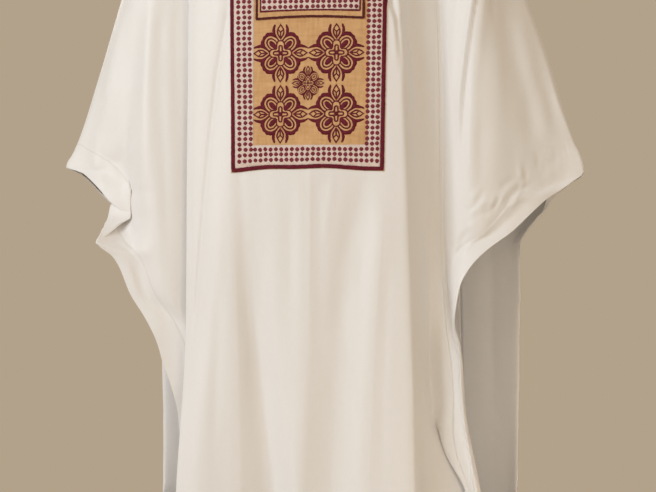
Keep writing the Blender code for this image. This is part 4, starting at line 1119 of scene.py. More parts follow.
def pale_ground(name):
    """Cream and pink couched ground between the dots."""
    mat, tree, shader = new_material(name)
    cloud = noise(tree, 120.0, 3.0, 0.65, (1, 1, 1))
    tone = ranged(tree, cloud, 0, 0.30, 0.70)
    strand = noise(tree, 700.0, 2.0, 0.6, (1, 1, 1))
    fine = ranged(tree, strand, 0, 0.3, 0.7)
    base = colour_mix(tree, (tone, 0), (0.765, 0.560, 0.495), (0.850, 0.740, 0.680))
    both = colour_mix(tree, (maths(tree, "MULTIPLY", (fine, 0), 0.5), 0), base, (0.88, 0.80, 0.755))
    tree.links.new(both.outputs[2], shader.inputs["Base Color"])
    shader.inputs["Roughness"].default_value = 0.7
    shader.inputs["Sheen Weight"].default_value = 0.2
    lines = threads(tree, 1300.0, "X", 2.0)
    lines = maths(tree, "ADD", (lines, 1), (fine, 0))
    bumped(tree, (lines, 0), shader, 0.6, 0.0004)
    return mat


def floor_material():
    mat, tree, shader = new_material("pale_floor")
    cloud = noise(tree, 1.6, 3.0, 0.5)
    tone = ranged(tree, cloud, 0, 0.3, 0.7)
    base = colour_mix(tree, (tone, 0), (0.560, 0.500, 0.425), (0.600, 0.540, 0.465))
    tree.links.new(base.outputs[2], shader.inputs["Base Color"])
    shader.inputs["Roughness"].default_value = 0.9
    return mat


WHITE = white_cloth("white_cotton")
TAN = woven_tan("tan_woven_cloth")
MAROON = silk_thread("maroon_thread", (0.070, 0.0030, 0.012), (0.150, 0.0060, 0.020), (0.29, 0.022, 0.046))
MAROON_ACROSS = silk_thread("maroon_thread_across", (0.068, 0.0025, 0.012), (0.145, 0.0055, 0.020), (0.28, 0.022, 0.046), "Z")
MAROON_DOT = silk_thread("maroon_dot_thread", (0.110, 0.006, 0.020), (0.225, 0.016, 0.040), (0.44, 0.090, 0.110))
DARK_LINE = silk_thread("dark_frame_thread", (0.040, 0.003, 0.005), (0.095, 0.008, 0.011), (0.19, 0.026, 0.030))
TAN_THREAD = silk_thread("tan_thread", (0.640, 0.370, 0.170), (0.770, 0.480, 0.240), (0.88, 0.62, 0.36))
CREAM = pale_ground("cream_ground")


# =============================================================== the cloth pieces
def at_place(places, u):
    return int(np.argmin([abs(p - u) for p in places]))


LS, RS = at_place(FU, LEFT_SEAM_U), at_place(FU, RIGHT_SEAM_U)
BR, BL = at_place(BU, BACK_RIGHT_SEAM_U), at_place(BU, BACK_LEFT_SEAM_U)


def cloth_piece(name, parts, node_name):
    verts, norms, faces, hem = cut_piece(parts)
    wall = WALL + (HEM_WALL - WALL) * smooth((CUFF_HEM + 1.0 - hem) / 2.0)
    points, both, own = walled(verts, norms, faces, wall)
    obj = new_mesh(name, points, both, WHITE)
    # the painted shade line of the hem stitching is left off along the right opening
    x, z = verts[own][:, 0], verts[own][:, 2]
    plain = smooth((x - 60.0) / 60.0) * smooth((z + 1010.0) / 40.0)
    shown = np.minimum(hem[own], 99.0)
    store(obj, "hem", (shown + (99.0 - shown) * plain) / 100.0)
    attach(obj, "root")
    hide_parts(node_name)
    return obj, verts, faces


front_cloth = cloth_piece("front_cloth", [("front", LS, RS, True, True)], "front_panel")
back_cloth = cloth_piece("back_cloth", [("back", BR, BL, True, True)], "back_panel")
left_cloth = cloth_piece("sleeve_cloth_left", [("back", BL, NB - 1, True, False), ("front", 0, LS, False, True)], "sleeve_left")
right_cloth = cloth_piece("sleeve_cloth_right", [("front", RS, NF - 1, True, False), ("back", 0, BR, False, True)], "sleeve_right")

# =============================================================== chart of the chest panel
# Charts are in millimetres across (x) and up (z) the front.  lay() puts a chart point on
# the cloth and lifts it.
CX = [at_place(FU, u) for u in CHEST_U]
LAY_XS = np.arange(-126.0, 122.0, 1.5)
LAY_ZS = np.arange(20.0, -540.0, -2.0)


def lay_table():
    """Depth of the front over the chart, from the finished front cloth."""
    rows_y = np.zeros((NR, len(LAY_XS)))
    rows_z = np.zeros((NR, len(LAY_XS)))
    a, b = CX[0] - 14, CX[1] + 14
    for r in range(NR):
        x = FRONT[r, a:b, 0]
        order = np.argsort(x)
        rows_y[r] = np.interp(LAY_XS, x[order], FRONT[r, a:b, 1][order])
        rows_z[r] = np.interp(LAY_XS, x[order], FRONT[r, a:b, 2][order])
    out = np.zeros((len(LAY_XS), len(LAY_ZS)))
    for i in range(len(LAY_XS)):
        z, y = rows_z[:, i], rows_y[:, i]
        keep = np.maximum.accumulate(-z) <= -z + 1e-6
        out[i] = np.interp(-LAY_ZS, -z[keep], y[keep])
    return out, rows_z[0]


LAY, NECK_LINE = lay_table()
LAY_NX = np.gradient(LAY, 1.5, axis=0)
LAY_NZ = np.gradient(LAY, -2.0, axis=1)


def on_table(table, x, z):
    i = np.clip((x - LAY_XS[0]) / 1.5, 0, len(LAY_XS) - 1.001)
    j = np.clip((LAY_ZS[0] - z) / 2.0, 0, len(LAY_ZS) - 1.001)
    a, b = i.astype(int), j.astype(int)
    s, t = i - a, j - b
    return ((table[a, b] * (1 - s) + table[a + 1, b] * s) * (1 - t)
            + (table[a, b + 1] * (1 - s) + table[a + 1, b + 1] * s) * t)


def lay(x, z, lift):
    """Chart points on the front, lifted along the cloth's own normal."""
    x, z, lift = np.broadcast_arrays(np.asarray(x, float), np.asarray(z, float), np.asarray(lift, float))
    y = on_table(LAY, x, z)
    nx, nz = on_table(LAY_NX, x, z), on_table(LAY_NZ, x, z)
    n = np.stack([nx, -np.ones_like(nx), nz], axis=-1)
    n /= np.linalg.norm(n, axis=-1, keepdims=True)
    return np.stack([x, y, z], axis=-1) + n * lift[..., None]


def neck_z(x):
    """Height of the neck edge and shoulder line over the chart."""
    return np.interp(x, LAY_XS, NECK_LINE)


def border_x(side, z):
    """Across place of the chest panel's left (0) or right (1) edge."""
    col = CX[side]
    zs, xs = FRONT[:, col, 2], FRONT[:, col, 0]
    return np.interp(-np.asarray(z, float), -zs, xs)


PANEL_LIFT = 0.5 * WALL + 0.25      # the underside of the panel above the middle of the cloth
PANEL_TOP = PANEL_LIFT + 0.9
PLACKET_TOP = PANEL_TOP + 0.25 + 0.8
CHEST_FOOT = -505.5                 # lower edge in the middle, and how far its corners drop
CHEST_BOW = 4.5


def chest_foot(x):
    t = (np.asarray(x, float) + 4.5) / 102.0
    return CHEST_FOOT - CHEST_BOW * t * t + 0.6 * np.sin(x / 13.0)


def sheet_on_chart(name, left, right, top, foot, base, height, mat, step=2.6, wavy=0.0, seed=5):
    """A thin closed layer over the chart between four edges, given as functions."""
    zs_top, zs_foot = 0.0, -520.0
    rows = int(abs(zs_foot - zs_top) / (step * 1.35))
    cols = int(200.0 / step)
    verts = np.zeros((rows + 1, cols + 1, 3))
    lows = np.zeros_like(verts)
    for j in range(cols + 1):
        s = j / cols
        for r in range(rows + 1):
            t = r / rows
            # two passes so that the edges, which depend on each other, agree
            z = top(0.0) + t * (foot(0.0) - top(0.0))
            for _ in range(3):
                x = left(z) + s * (right(z) - left(z))
                z = top(x) + t * (foot(x) - top(x))
            verts[r, j] = (x, 0.0, z)
    x, z = verts[..., 0], verts[..., 2]
    if wavy:
        rim = np.zeros_like(x)
        rim[:, 0], rim[:, -1] = -1.0, 1.0
        x = x + rim * wavy * lattice_noise(z / 6.0, z * 0 + seed, seed)
    puff = 0.06 * lattice_noise(x / 4.0, z / 5.0, seed + 3)
    upper = lay(x, z, base + height + puff)
    lower = lay(x, z, base)
    n = (rows + 1) * (cols + 1)
    idx = np.arange(n).reshape(rows + 1, cols + 1)
    quads = quads_of(idx)
    faces = [list(q) for q in quads] + [[i + n for i in reversed(q)] for q in quads]
    ring = (list(idx[0, :]) + list(idx[1:, -1]) + list(idx[-1, -2::-1]) + list(idx[-2:0:-1, 0]))
    for k in range(len(ring)):
        a, b = int(ring[k]), int(ring[(k + 1) % len(ring)])
        faces.append([a, b, b + n, a + n])
    return new_mesh(name, np.vstack([upper.reshape(-1, 3), lower.reshape(-1, 3)]), faces, mat)


chest_cloth = sheet_on_chart(
    "chest_panel_cloth", lambda z: border_x(0, z), lambda z: border_x(1, z),
    lambda x: neck_z(x) - 4.0, chest_foot, PANEL_LIFT, 0.9, TAN)
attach(chest_cloth, "root")
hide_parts("chest_panel")

PLACKET_L, PLACKET_R, PLACKET_FOOT = -74.3, 68.6, -313.0
placket_cloth = sheet_on_chart(
    "placket_cloth", lambda z: PLACKET_L + 0 * z, lambda z: PLACKET_R + 0 * z,
    lambda x: neck_z(x) - 4.0, lambda x: PLACKET_FOOT + 1.6 * np.cos((x + 3) / 34.0), PANEL_TOP + 0.15, 0.8, TAN, 2.6)
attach(placket_cloth, "root")
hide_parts("neck_placket")


# =============================================================== embroidery
def ragged(points, amount, seed):
    """Hand-worked edges: each point moved a little, smoothly along the outline."""
    pts = np.asarray(points, float)
    if amount <= 0:
        return pts
    n = lattice_noise(pts[:, 0] / 1.7, pts[:, 1] / 1.7, seed)
    m = lattice_noise(pts[:, 0] / 1.7 + 40, pts[:, 1] / 1.7 + 40, seed + 1)
    return pts + amount * np.stack([n, m], axis=1)


def dense(points, step=0.9, closed=True):
    pts = [np.asarray(p, float) for p in points]
    out = []
    for k in range(len(pts) if closed else len(pts) - 1):
        a, b = pts[k], pts[(k + 1) % len(pts)]
        n = max(1, int(math.ceil(np.linalg.norm(b - a) / step)))
        out += [a + (b - a) * i / n for i in range(n)]
    if not closed:
        out.append(pts[-1])
    return np.array(out)


def rounded(points, turns=2):
    """Corner cutting: a soft closed outline through a few charted corners."""
    pts = [np.asarray(p, float) for p in points]
    for _ in range(turns):
        out = []
        for k, p in enumerate(pts):
            q = pts[(k + 1) % len(pts)]
            out += [0.75 * p + 0.25 * q, 0.25 * p + 0.75 * q]
        pts = out
    return np.array(pts)


def leaf(base, tip, half, full=0.5):
    """A leaf outline pointed at both ends, along +z, widest at `full` of its length."""
    t = np.linspace(0, 1, 15)
    bulge = np.where(t < full, np.sin(np.pi / 2 * t / full), np.cos(np.pi / 2 * (t - full) / (1 - full)) ** 1.15)
    z = base + (tip - base) * t
    right = np.stack([half * bulge, z], axis=1)
    return np.vstack([right, right[-2:0:-1] * (-1, 1)])


def oval(near, far, half, lean=0.12):
    """A rounded petal along +z."""
    a = np.linspace(0, 2 * np.pi, 30, endpoint=False)
    mid, reach = 0.5 * (near + far), 0.5 * (far - near)
    return np.stack([half * np.sin(a) * (1 - lean * np.cos(a)), mid - reach * np.cos(a)], axis=1)


def cross(reach_x, reach_z, half, blunt=0.55):
    """A four-armed cross with rounded ends."""
    c = half * blunt
    corners = [(half, half), (half, reach_z - c), (c * 0.7, reach_z), (-c * 0.7, reach_z), (-half, reach_z - c), (-half, half),
               (-reach_x + c, half), (-reach_x, c * 0.7), (-reach_x, -c * 0.7), (-reach_x + c, -half), (-half, -half),
               (-half, -reach_z + c), (-c * 0.7, -reach_z), (c * 0.7, -reach_z), (half, -reach_z + c), (half, -half),
               (reach_x - c, -half), (reach_x, -c * 0.7), (reach_x, c * 0.7), (reach_x - c, half)]
    return rounded(corners, 1)


def bar(p, q, half):
    p, q = np.asarray(p, float), np.asarray(q, float)
    d = (q - p) / np.linalg.norm(q - p)
    n = np.array((-d[1], d[0])) * half
    return np.array([p - n, q - n, q + n, p + n])


def turned(points, degrees, sx=1.0, sz=1.0, centre=(0.0, 0.0)):
    a = math.radians(degrees)
    c, s = math.cos(a), math.sin(a)
    pts = np.asarray(points, float)
    return np.stack([(pts[:, 0] * c - pts[:, 1] * s) * sx + centre[0],
                     (pts[:, 0] * s + pts[:, 1] * c) * sz + centre[1]], axis=1)


# one quarter of the large floret's ground: from the side of the upper leaf's arc round
# the corner to the side of the right-hand leaf's arc (x, z in mm)
QUARTER = ((6.6, 27.6), (7.4, 31.0), (6.4, 35.6), (7.0, 37.6), (8.6, 36.9), (10.6, 32.6), (11.2, 28.6),
           (10.4, 26.6), (13.2, 27.3), (15.6, 26.6), (17.4, 26.9), (19.4, 25.2), (20.6, 23.0), (22.6, 22.4),
           (23.9, 19.8), (24.2, 17.6), (26.0, 15.8), (26.4, 13.4), (26.0, 11.4), (28.0, 11.3), (32.0, 9.9),
           (35.4, 8.2), (36.2, 6.6), (34.6, 6.2), (31.0, 7.0), (27.6, 6.6))


def large_floret(centre, joined):
    """Charted shapes in paint order: (colour, outline).  `joined` names the sides where
    the floret meets a neighbour."""
    shapes = []
    outline = []
    for flip_x, flip_z in ((1, 1), (1, -1), (-1, -1), (-1, 1)):
        quarter = [(x * flip_x, z * flip_z) for x, z in QUARTER]
        side = "right" if flip_x > 0 else "left"
        if side in joined:
            quarter = [((37.2 if abs(x) > 35.9 else 36.0) * flip_x if abs(x) > 34 else x, (z * 0.86 if abs(x) > 34 else z))
                       for x, z in quarter]
        if flip_x * flip_z < 0:
            quarter = quarter[::-1]
        outline += quarter
    shapes.append(("maroon", rounded(outline, 2)))
    for turn in (0, 90, 180, 270):
        axis = 1.0 if turn in (0, 180) else 0.945
        stretch = dict(sx=axis if turn in (90, 270) else 1.0, sz=1.0 if turn in (0, 180) else 1.0)
        shapes.append(("tan", turned(leaf(15.0, 42.5, 7.2, 0.48), turn, **stretch)))
    for turn in (43, -43, 137, -137):
        shapes.append(("tan", turned(oval(4.0, 27.2, 8.6), turn)))
        shapes.append(("maroon", turned(oval(5.0, 25.2, 6.6), turn)))
        shapes.append(("tan", turned(oval(6.5, 23.0, 4.9), turn)))
        shapes.append(("maroon", turned(oval(8.0, 21.1, 3.2), turn)))
    # the dark line between the petals and the cross
    shapes.append(("maroon", cross(15.6, 17.0, 5.9)))
    shapes.append(("tan", cross(13.9, 15.4, 4.3)))
    shapes.append(("maroon", cross(10.3, 10.7, 3.1)))
    shapes.append(("tan", cross(8.6, 8.9, 1.15)))
    shapes.append(("maroon", rounded([(2.7, 2.7), (-2.7, 2.7), (-2.7, -2.7), (2.7, -2.7)], 1)))
    for turn in (0, 90, 180, 270):
        s = 0.945 if turn in (90, 270) else 1.0
        reach = 38.4
        parts = [("maroon", leaf(17.2, reach, 5.2, 0.50)),
                 ("tan", leaf(20.4, 35.6, 3.35, 0.52)),
                 ("maroon", bar((0, 18.0), (0, 27.8), 0.85)),
                 ("maroon", bar((0.2, 27.2), (4.2, 31.4), 0.8)),
                 ("maroon", bar((-0.2, 27.2), (-4.2, 31.4), 0.8))]
        for colour, pts in parts:
            shapes.append((colour, turned(pts * (1.0, s) if turn in (90, 270) else pts, turn)))
    return [(colour, np.asarray(pts) + centre) for colour, pts in shapes]


def small_floret(centre):
    shapes = []
    quarter = ((2.6, 17.0), (3.6, 19.0), (3.0, 21.6), (4.6, 21.2), (6.3, 18.4), (6.4, 15.8), (8.2, 15.6), (10.4, 14.6),
               (12.0, 12.6), (13.2, 10.4), (13.8, 8.2), (13.4, 6.4), (16.4, 6.6), (19.6, 5.2), (20.6, 3.6),
               (18.2, 3.8), (16.0, 2.8))
    outline = []
    for fx, fz in ((1, 1), (1, -1), (-1, -1), (-1, 1)):
        q = [(x * fx, z * fz) for x, z in quarter]
        outline += q if fx * fz > 0 else q[::-1]
    shapes.append(("maroon", rounded(outline, 2)))
    for turn in (0, 90, 180, 270):
        s = 0.94 if turn in (90, 270) else 1.0
        shapes.append(("tan", turned(leaf(9.4, 24.4, 4.3, 0.5) * (1, s), turn)))
    for turn in (44, -44, 136, -136):
        shapes.append(("tan", turned(oval(5.2, 16.9, 4.6, 0.05), turn)))
        shapes.append(("maroon", turned(oval(6.2, 15.8, 3.5, 0.05), turn)))
        shapes.append(("tan", turned(oval(7.6, 14.8, 2.5, 0.05), turn)))
        shapes.append(("maroon", turned(oval(8.8, 13.4, 1.35, 0.05), turn)))
        shapes.append(("tan", turned(oval(10.2, 12.0, 0.55, 0.0), turn)))
    shapes.append(("maroon", oval(-9.6, 9.6, 6.8, 0.0)))
    for turn, near, far, half in ((0, 0.8, 8.8, 3.1), (180, 0.8, 8.8, 3.1), (90, 0.8, 7.0, 2.5), (270, 0.8, 7.0, 2.5)):
        shapes.append(("tan", turned(oval(near, far, half), turn)))
        shapes.append(("maroon", turned(oval(near + 1.0, far - 1.0, half - 1.0), turn)))
        shapes.append(("tan", turned(oval(near + 2.2, far - 2.0, max(0.5, half - 2.0)), turn)))
    shapes.append(("maroon", rounded([(1.5, 1.5), (-1.5, 1.5), (-1.5, -1.5), (1.5, -1.5)], 1)))
    for turn in (0, 90, 180, 270):
        s = 0.94 if turn in (90, 270) else 1.0
        for colour, pts in (("maroon", leaf(9.8, 22.8, 3.1, 0.5)), ("tan", leaf(11.6, 20.8, 1.9, 0.5)),
                            ("maroon", leaf(12.6, 18.0, 0.95, 0.45))):
            shapes.append((colour, turned(pts * (1, s), turn)))
    return [(colour, np.asarray(pts) + centre) for colour, pts in shapes]


def stitched_shapes(name, shapes, keep, base, height, mat, seed, rough=0.22, step=1.1, inner=4.0):
    """Cuts the charted shapes into each other, and builds what shows of one colour as a
    raised layer: a top, rounded down at its edges, sides and an underside."""
    coords, faces, colours = [], [], []
    for k, (colour, outline) in enumerate(shapes):
        pts = ragged(dense(outline, step), rough, seed + (k % 7) * 3)
        area = 0.5 * np.sum(pts[:, 0] * np.roll(pts[:, 1], -1) - np.roll(pts[:, 0], -1) * pts[:, 1])
        if area < 0:
            pts = pts[::-1]
        first = len(coords)
        coords += [Vector((float(p[0]), float(p[1]))) for p in pts]
        faces.append(list(range(first, len(coords))))
        colours.append(colour)
    # points inside, so that the layer follows the cloth
    spread = np.array([(c[0], c[1]) for c in coords])
    (x0, z0), (x1, z1) = spread.min(axis=0), spread.max(axis=0)
    for k in range(int((x1 - x0) / inner)):
        for j in range(int((z1 - z0) / inner)):
            coords.append(Vector((float(x0 + (k + 0.5 + 0.13 * (j % 3)) * inner), float(z0 + (j + 0.5 + 0.11 * (k % 3)) * inner))))
    out_v, out_e, out_f, _, _, orig_f = delaunay_2d_cdt(coords, [], faces, 1, 1e-4)
    kept = []
    for f, owners in zip(out_f, orig_f):
        if owners and colours[max(owners)] == keep:
            kept.append(tuple(f))
    used = sorted({i for f in kept for i in f})
    index = {v: i for i, v in enumerate(used)}
    pts = np.array([(out_v[i][0], out_v[i][1]) for i in used])
    tris = [tuple(index[i] for i in f) for f in kept]
    # make every face turn the same way (front is -Y, so clockwise in x, z)
    fixed = []
    for f in tris:
        a, b, c = (pts[i] for i in f[:3])
        turn = (b[0] - a[0]) * (c[1] - a[1]) - (b[1] - a[1]) * (c[0] - a[0])
        fixed.append(f if turn > 0 else f[::-1])
    edges = {}
    for f in fixed:
        for k in range(len(f)):
            edges[(f[k], f[(k + 1) % len(f)])] = True
    border = [(a, b) for (a, b) in edges if (b, a) not in edges]
    rim = {i for e in border for i in e}
    n = len(pts)
    lift = np.full(n, height)
    lift[list(rim)] = height * 0.62
    crown = 0.10 * lattice_noise(pts[:, 0] / 2.2, pts[:, 1] / 2.2, seed + 50)
    top = lay(pts[:, 0], pts[:, 1], base + lift + crown * (lift == height))
    low = lay(pts[:, 0], pts[:, 1], np.full(n, base - 0.12))
    all_faces = [list(f) for f in fixed] + [[i + n for i in f[::-1]] for f in fixed]
    all_faces += [[b, a, a + n, b + n] for a, b in border]
    return new_mesh(name, np.vstack([top, low]), all_faces, mat)


FLORETS = ((-40.9, -356.4, ("right",)), (32.1, -356.4, ("left",)), (-40.6, -435.4, ("right",)), (32.1, -435.2, ("left",)))
embroidery = []
for k, (fx, fz, joined) in enumerate(FLORETS):
    embroidery.append(stitched_shapes("floret_embroidery_%d" % (k + 1), large_floret((fx, fz), joined), "maroon",
                                      PANEL_TOP, 0.45, MAROON, 3 + 8 * k))
embroidery.append(stitched_shapes("floret_small_embroidery", small_floret((-4.6, -395.6)), "maroon", PANEL_TOP, 0.5, MAROON, 21, 0.14, 0.8))


def band(name, path, half, base, height, mat, step=1.6, seed=1, ragged_by=0.25, closed=False):
    """A satin-stitched band along a chart line: a low dome across, uneven at its edges."""
    line = dense(path, step, closed)
    n = len(line)
    nxt = np.roll(line, -1, axis=0)
    prv = np.roll(line, 1, axis=0)
    if not closed:
        nxt[-1], prv[0] = line[-1], line[0]
    d = nxt - prv
    d /= np.linalg.norm(d, axis=1, keepdims=True)
    side = np.stack([-d[:, 1], d[:, 0]], axis=1)
    k = np.arange(n)
    widths = half + ragged_by * lattice_noise(k * 0.9, k * 0 + seed, seed)
    widths2 = half + ragged_by * lattice_noise(k * 0.9, k * 0 + seed + 9, seed + 5)
    cross_at = ((-1.0, 0.0), (-0.86, 0.62), (-0.4, 0.95), (0.0, 1.0), (0.4, 0.95), (0.86, 0.62), (1.0, 0.0))
    verts = []
    for s, h in cross_at:
        w = np.where(s < 0, widths, widths2)
        p = line + side * (w * s)[:, None]
        verts.append(lay(p[:, 0], p[:, 1], base - 0.1 + (height + 0.1) * h + 0.05 * h * lattice_noise(k * 1.3, k * 0 + s, seed + 2)))
    verts = np.stack(verts, axis=1)                        # n, 7, 3
    m = len(cross_at)
    idx = np.arange(n * m).reshape(n, m)
    faces = []
    for i in range(n if closed else n - 1):
        j = (i + 1) % n
        for c in range(m):
            e = (c + 1) % m
            faces.append([idx[i, c], idx[i, e], idx[j, e], idx[j, c]])
    if not closed:
        faces.append(list(idx[0, ::-1]))
        faces.append(list(idx[-1, :]))
    return new_mesh(name, verts.reshape(-1, 3), faces, mat)


# the outer border of the chest panel: down the left, along the foot, up the right
BORDER_HALF = 2.7


def chest_border():
    path = [(border_x(0, z) + BORDER_HALF + 0.1, z) for z in np.linspace(neck_z(-104.0) - 6.0, chest_foot(-107.0) + BORDER_HALF + 0.4, 60)]
    a, b = border_x(0, CHEST_FOOT) + BORDER_HALF + 0.1, border_x(1, CHEST_FOOT) - BORDER_HALF - 0.1
    path += [(x, float(chest_foot(x)) + BORDER_HALF + 0.2) for x in np.linspace(a, b, 40)[1:-1]]
    path += [(border_x(1, z) - BORDER_HALF - 0.1, z) for z in np.linspace(chest_foot(97.0) + BORDER_HALF + 0.4, neck_z(94.0) - 6.0, 60)]
    return path


embroidery.append(band("chest_border_embroidery", [(float(a), float(b)) for a, b in chest_border()], BORDER_HALF, PANEL_TOP, 1.0, MAROON_ACROSS, 1.7, 31, 0.3))


# pale ground under the dotted border, and the dots
def ground_shapes():
    inner_l, inner_r, inner_z = -76.4, 72.8, -475.0
    left = [(float(border_x(0, z)) + 2 * BORDER_HALF - 0.6, float(z)) for z in np.linspace(neck_z(-100.0) - 8.0, chest_foot(-100.0) + 5.2, 30)]
    foot = [(float(x), float(chest_foot(x)) + 5.0) for x in np.linspace(-100.0, 92.0, 24)]
    right = [(float(border_x(1, z)) - 2 * BORDER_HALF + 0.6, float(z)) for z in np.linspace(chest_foot(92.0) + 5.2, neck_z(90.0) - 8.0, 30)]
    back = [(inner_r, float(neck_z(inner_r)) - 8.0), (inner_r, inner_z), (inner_l, inner_z), (inner_l, float(neck_z(inner_l)) - 8.0)]
    return [("cream", left + foot + right + back)]


embroidery.append(stitched_shapes("dotted_border_ground", ground_shapes(), "cream", PANEL_TOP, 0.28, CREAM, 41, 0.35, 2.2))


def domes(name, spots, base, height, mat, seed):
    """Small worked dots: low domes, not quite round, with a dimple where the stitches meet."""
    around = 12
    verts, faces = [], []
    a = np.linspace(0, 2 * np.pi, around, endpoint=False)
    xs, zs, hs = [], [], []
    for k, (x, z, r) in enumerate(spots):
        wob = lattice_noise(np.full(around, k * 3.7), np.arange(around) * 0.9, seed)
        dx, dz = 0.35 * math.sin(k * 12.9898 + seed), 0.35 * math.sin(k * 78.233 + seed)
        square = 1.0 + 0.05 * np.cos(4 * a)
        for share, h in ((1.0, 0.0), (0.9, 0.6), (0.52, 1.0)):
            rr = r * share * square * (1 + 0.10 * wob)
            xs += list(x + dx + rr * np.cos(a))
            zs += list(z + dz + rr * np.sin(a))
            hs += [h] * around
        xs += [x + dx, x + dx]
        zs += [z + dz, z + dz]
        hs += [0.72, 0.0]
    hs = np.array(hs)
    pts = lay(np.array(xs), np.array(zs), base - 0.08 * (hs == 0) + height * hs)
    per = around * 3 + 2
    for k in range(len(spots)):
        o = k * per
        for ring in (0, 1):
            for i in range(around):
                j = (i + 1) % around
                faces.append([o + ring * around + i, o + ring * around + j, o + (ring + 1) * around + j, o + (ring + 1) * around + i])
        for i in range(around):
            j = (i + 1) % around
            faces.append([o + 2 * around + i, o + 2 * around + j, o + 3 * around])
            faces.append([o + j, o + i, o + 3 * around + 1])
    return new_mesh(name, pts, faces, mat)


DOT_STEP = 6.85
spots = []
rows_down = int((chest_foot(-90.0) + 14.0 - (neck_z(-90.0) - 12.0)) / -DOT_STEP)
for k in range(rows_down + 1):
    z = -480.6 + (k - 0) * DOT_STEP
    for side, sign, offs in ((0, 1, (11.3, 18.9, 26.0)), (1, -1, (9.3, 15.9, 22.9))):
        for off in offs:
            x = float(border_x(side, z)) + sign * off
            if z < neck_z(x) - 12.0:
                spots.append((x, z, 2.8))
foot_n = 26
for row, dz in enumerate((-487.4, -494.2)):
    for k in range(foot_n + 1):
        x = float(border_x(0, dz)) + 11.3 + k * (float(border_x(1, dz)) - float(border_x(0, dz)) - 20.4) / foot_n
        spots.append((x, dz + float(chest_foot(x) - CHEST_FOOT) * (0.4 + 0.25 * row) + 0.6, 2.8))
for k in range(3, foot_n - 2):
    x = float(border_x(0, -480.6)) + 11.3 + k * (float(border_x(1, -480.6)) - float(border_x(0, -480.6)) - 20.4) / foot_n
    spots.append((x, -480.4 + float(chest_foot(x) - CHEST_FOOT) * 0.25, 2.8))
embroidery.append(domes("border_dots", spots, PANEL_TOP + 0.24, 0.75, MAROON_DOT, 7))

# the framed placket: two lines, and dots on a pale ground inside the inner one
FRAME_HALF, INNER_HALF = 1.65, 1.2
INNER_L, INNER_R, INNER_FOOT = -67.4, 62.2, -302.0


def frame_path(left, right, foot, drop, bow):
    top_l, top_r = float(neck_z(left)) - drop, float(neck_z(right)) - drop
    path = [(left, z) for z in np.linspace(top_l, foot + 1, 30)]
    path += [(x, foot + bow * math.cos((x + 3) / 34.0)) for x in np.linspace(left, right, 24)]
    path += [(right, z) for z in np.linspace(foot + 1, top_r, 30)]
    return path


embroidery.append(band("placket_outer_line", frame_path(PLACKET_L + 1.8, PLACKET_R - 1.8, -311.0, 7.0, 1.6), FRAME_HALF, PLACKET_TOP, 0.75, DARK_LINE, 1.7, 51, 0.25))
embroidery.append(band("placket_inner_line", frame_path(INNER_L, INNER_R, INNER_FOOT, 7.0, 1.0), INNER_HALF, PLACKET_TOP, 0.6, MAROON, 1.7, 57, 0.3))


def inner_ground():
    pts = [(INNER_L + 0.6, INNER_FOOT + 0.8), (INNER_R - 0.6, INNER_FOOT + 0.8)]
    pts += [(float(x), float(neck_z(x)) - 7.0) for x in np.linspace(INNER_R - 0.6, INNER_L + 0.6, 60)]
    return [("cream", pts)]


embroidery.append(stitched_shapes("placket_ground", inner_ground(), "cream", PLACKET_TOP, 0.25, CREAM, 61, 0.2, 2.2))
spots = []
cols = 18
for k in range(cols):
    x = INNER_L + 4.6 + k * (INNER_R - INNER_L - 9.2) / (cols - 1)
    z = INNER_FOOT + 5.2
    while z < neck_z(x) - 11.0:
        spots.append((x, z, 2.72))
        z += 6.9
embroidery.append(domes("placket_dots", spots, PLACKET_TOP + 0.2, 0.7, MAROON_DOT, 17))

for obj in embroidery:
    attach(obj, "root")


# =============================================================== neck edging
def neck_path():
    """The rolled edging's middle line: round the neck edge of the front and back."""
    a, b = PLACKET_U
    i, j = at_place(FU, a), at_place(FU, b)
    back_ends = [float(BACK_NAMES.index(n)) for n in ("right_hollow", "left_hollow")]
    p, q = at_place(BU, back_ends[0]), at_place(BU, back_ends[1])
    return np.vstack([FRONT[0, i:j + 1], BACK[0, p + 1:q]])


def edging():
    edge = neck_path()
    mid = np.array(NECK_MIDDLE)
    # even steps round the loop
    loop = np.vstack([edge, edge[:1]])
    run = np.concatenate([[0], np.cumsum(np.linalg.norm(np.diff(loop, axis=0), axis=1))])
    n = 260
    even = np.stack([np.interp(np.linspace(0, run[-1], n + 1)[:-1], run, loop[:, k]) for k in range(3)], axis=1)
    for _ in range(6):
        even = 0.5 * even + 0.25 * (np.roll(even, 1, axis=0) + np.roll(even, -1, axis=0))
    along = np.roll(even, -1, axis=0) - np.roll(even, 1, axis=0)
    along /= np.linalg.norm(along, axis=1, keepdims=True)
    inward = mid - even
    inward -= along * (inward * along).sum(axis=1, keepdims=True)
    inward /= np.linalg.norm(inward, axis=1, keepdims=True)
    up = np.cross(along, inward)
    centre = even + inward * 2.4
    around = 14
    verts, faces = [], []
    for i in range(n):
        for k in range(around):
            a = 2 * math.pi * k / around
            twist = 0.14 * math.sin(2.0 * a + i * 0.9)
            r = 2.5 * (1 + twist * 0.6)
            verts.append(centre[i] + inward[i] * (r * math.cos(a)) + up[i] * (r * math.sin(a)))
    for i in range(n):
        j = (i + 1) % n
        for k in range(around):
            m = (k + 1) % around
            faces.append([i * around + k, j * around + k, j * around + m, i * around + m])
    return new_mesh("neck_edging", verts, faces, MAROON)


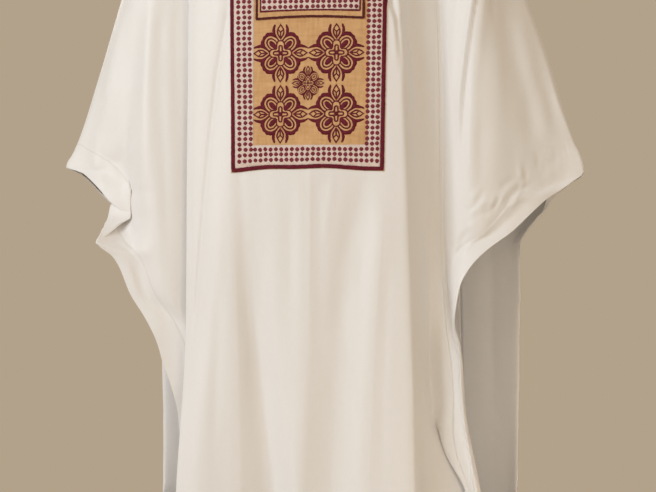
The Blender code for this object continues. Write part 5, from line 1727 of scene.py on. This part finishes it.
edge_obj = edging()
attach(edge_obj, "root")
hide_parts("neck_binding")


# =============================================================== floor, light, camera
def floor_disc():
    n, radius, z = 96, 3200.0, -1460.0
    ring = [(radius * math.cos(2 * math.pi * k / n), radius * math.sin(2 * math.pi * k / n), z) for k in range(n)]
    return new_mesh("floor", ring, [list(range(n))], floor_material())


floor = floor_disc()

world = bpy.data.worlds.new("studio")
bpy.context.scene.world = world
world.use_nodes = True
background = world.node_tree.nodes["Background"]
background.inputs[0].default_value = (0.490, 0.392, 0.280, 1.0)
background.inputs[1].default_value = 0.92


def softbox(name, place, aim, size, watts, colour):
    data = bpy.data.lights.new(name, "AREA")
    data.shape = "RECTANGLE"
    data.size, data.size_y = size
    data.energy = watts
    data.color = colour
    obj = bpy.data.objects.new(name, data)
    bpy.context.scene.collection.objects.link(obj)
    obj.location = place
    obj.rotation_euler = (Vector(aim) - Vector(place)).to_track_quat("-Z", "Y").to_euler()
    return obj


softbox("key", (-2.65, -2.75, 0.75), (0.0, 0.0, -0.6), (1.6, 1.8), 77.5, (0.84, 0.925, 1.0))
softbox("fill", (1.9, -3.4, -0.1), (0.0, 0.0, -0.6), (1.8, 1.8), 25.0, (1.0, 0.88, 0.74))
low_fill = softbox("low_fill", (1.55, -2.3, -1.15), (0.29, 0.03, -0.90), (0.4, 0.4), 0.065, (1.0, 0.93, 0.80))
low_fill.data.spread = math.radians(13.0)
softbox("back_light", (-1.9, 3.2, 1.1), (0.0, 0.0, -0.6), (1.4, 1.5), 50.0, (1.0, 0.98, 0.95))

data = bpy.data.cameras.new("camera")
camera = bpy.data.objects.new("camera", data)
bpy.context.scene.collection.objects.link(camera)
turn = math.radians(9.0)
camera.location = (3.2 * math.sin(turn), -3.2 * math.cos(turn), -0.605)
camera.rotation_euler = (math.radians(90.0), 0.0, turn)
data.sensor_width = 36.0
data.lens = 36.0 * 3.1 / 0.8528
bpy.context.scene.camera = camera
bpy.context.scene.view_settings.view_transform = "Standard"

bpy.context.view_layer.update()
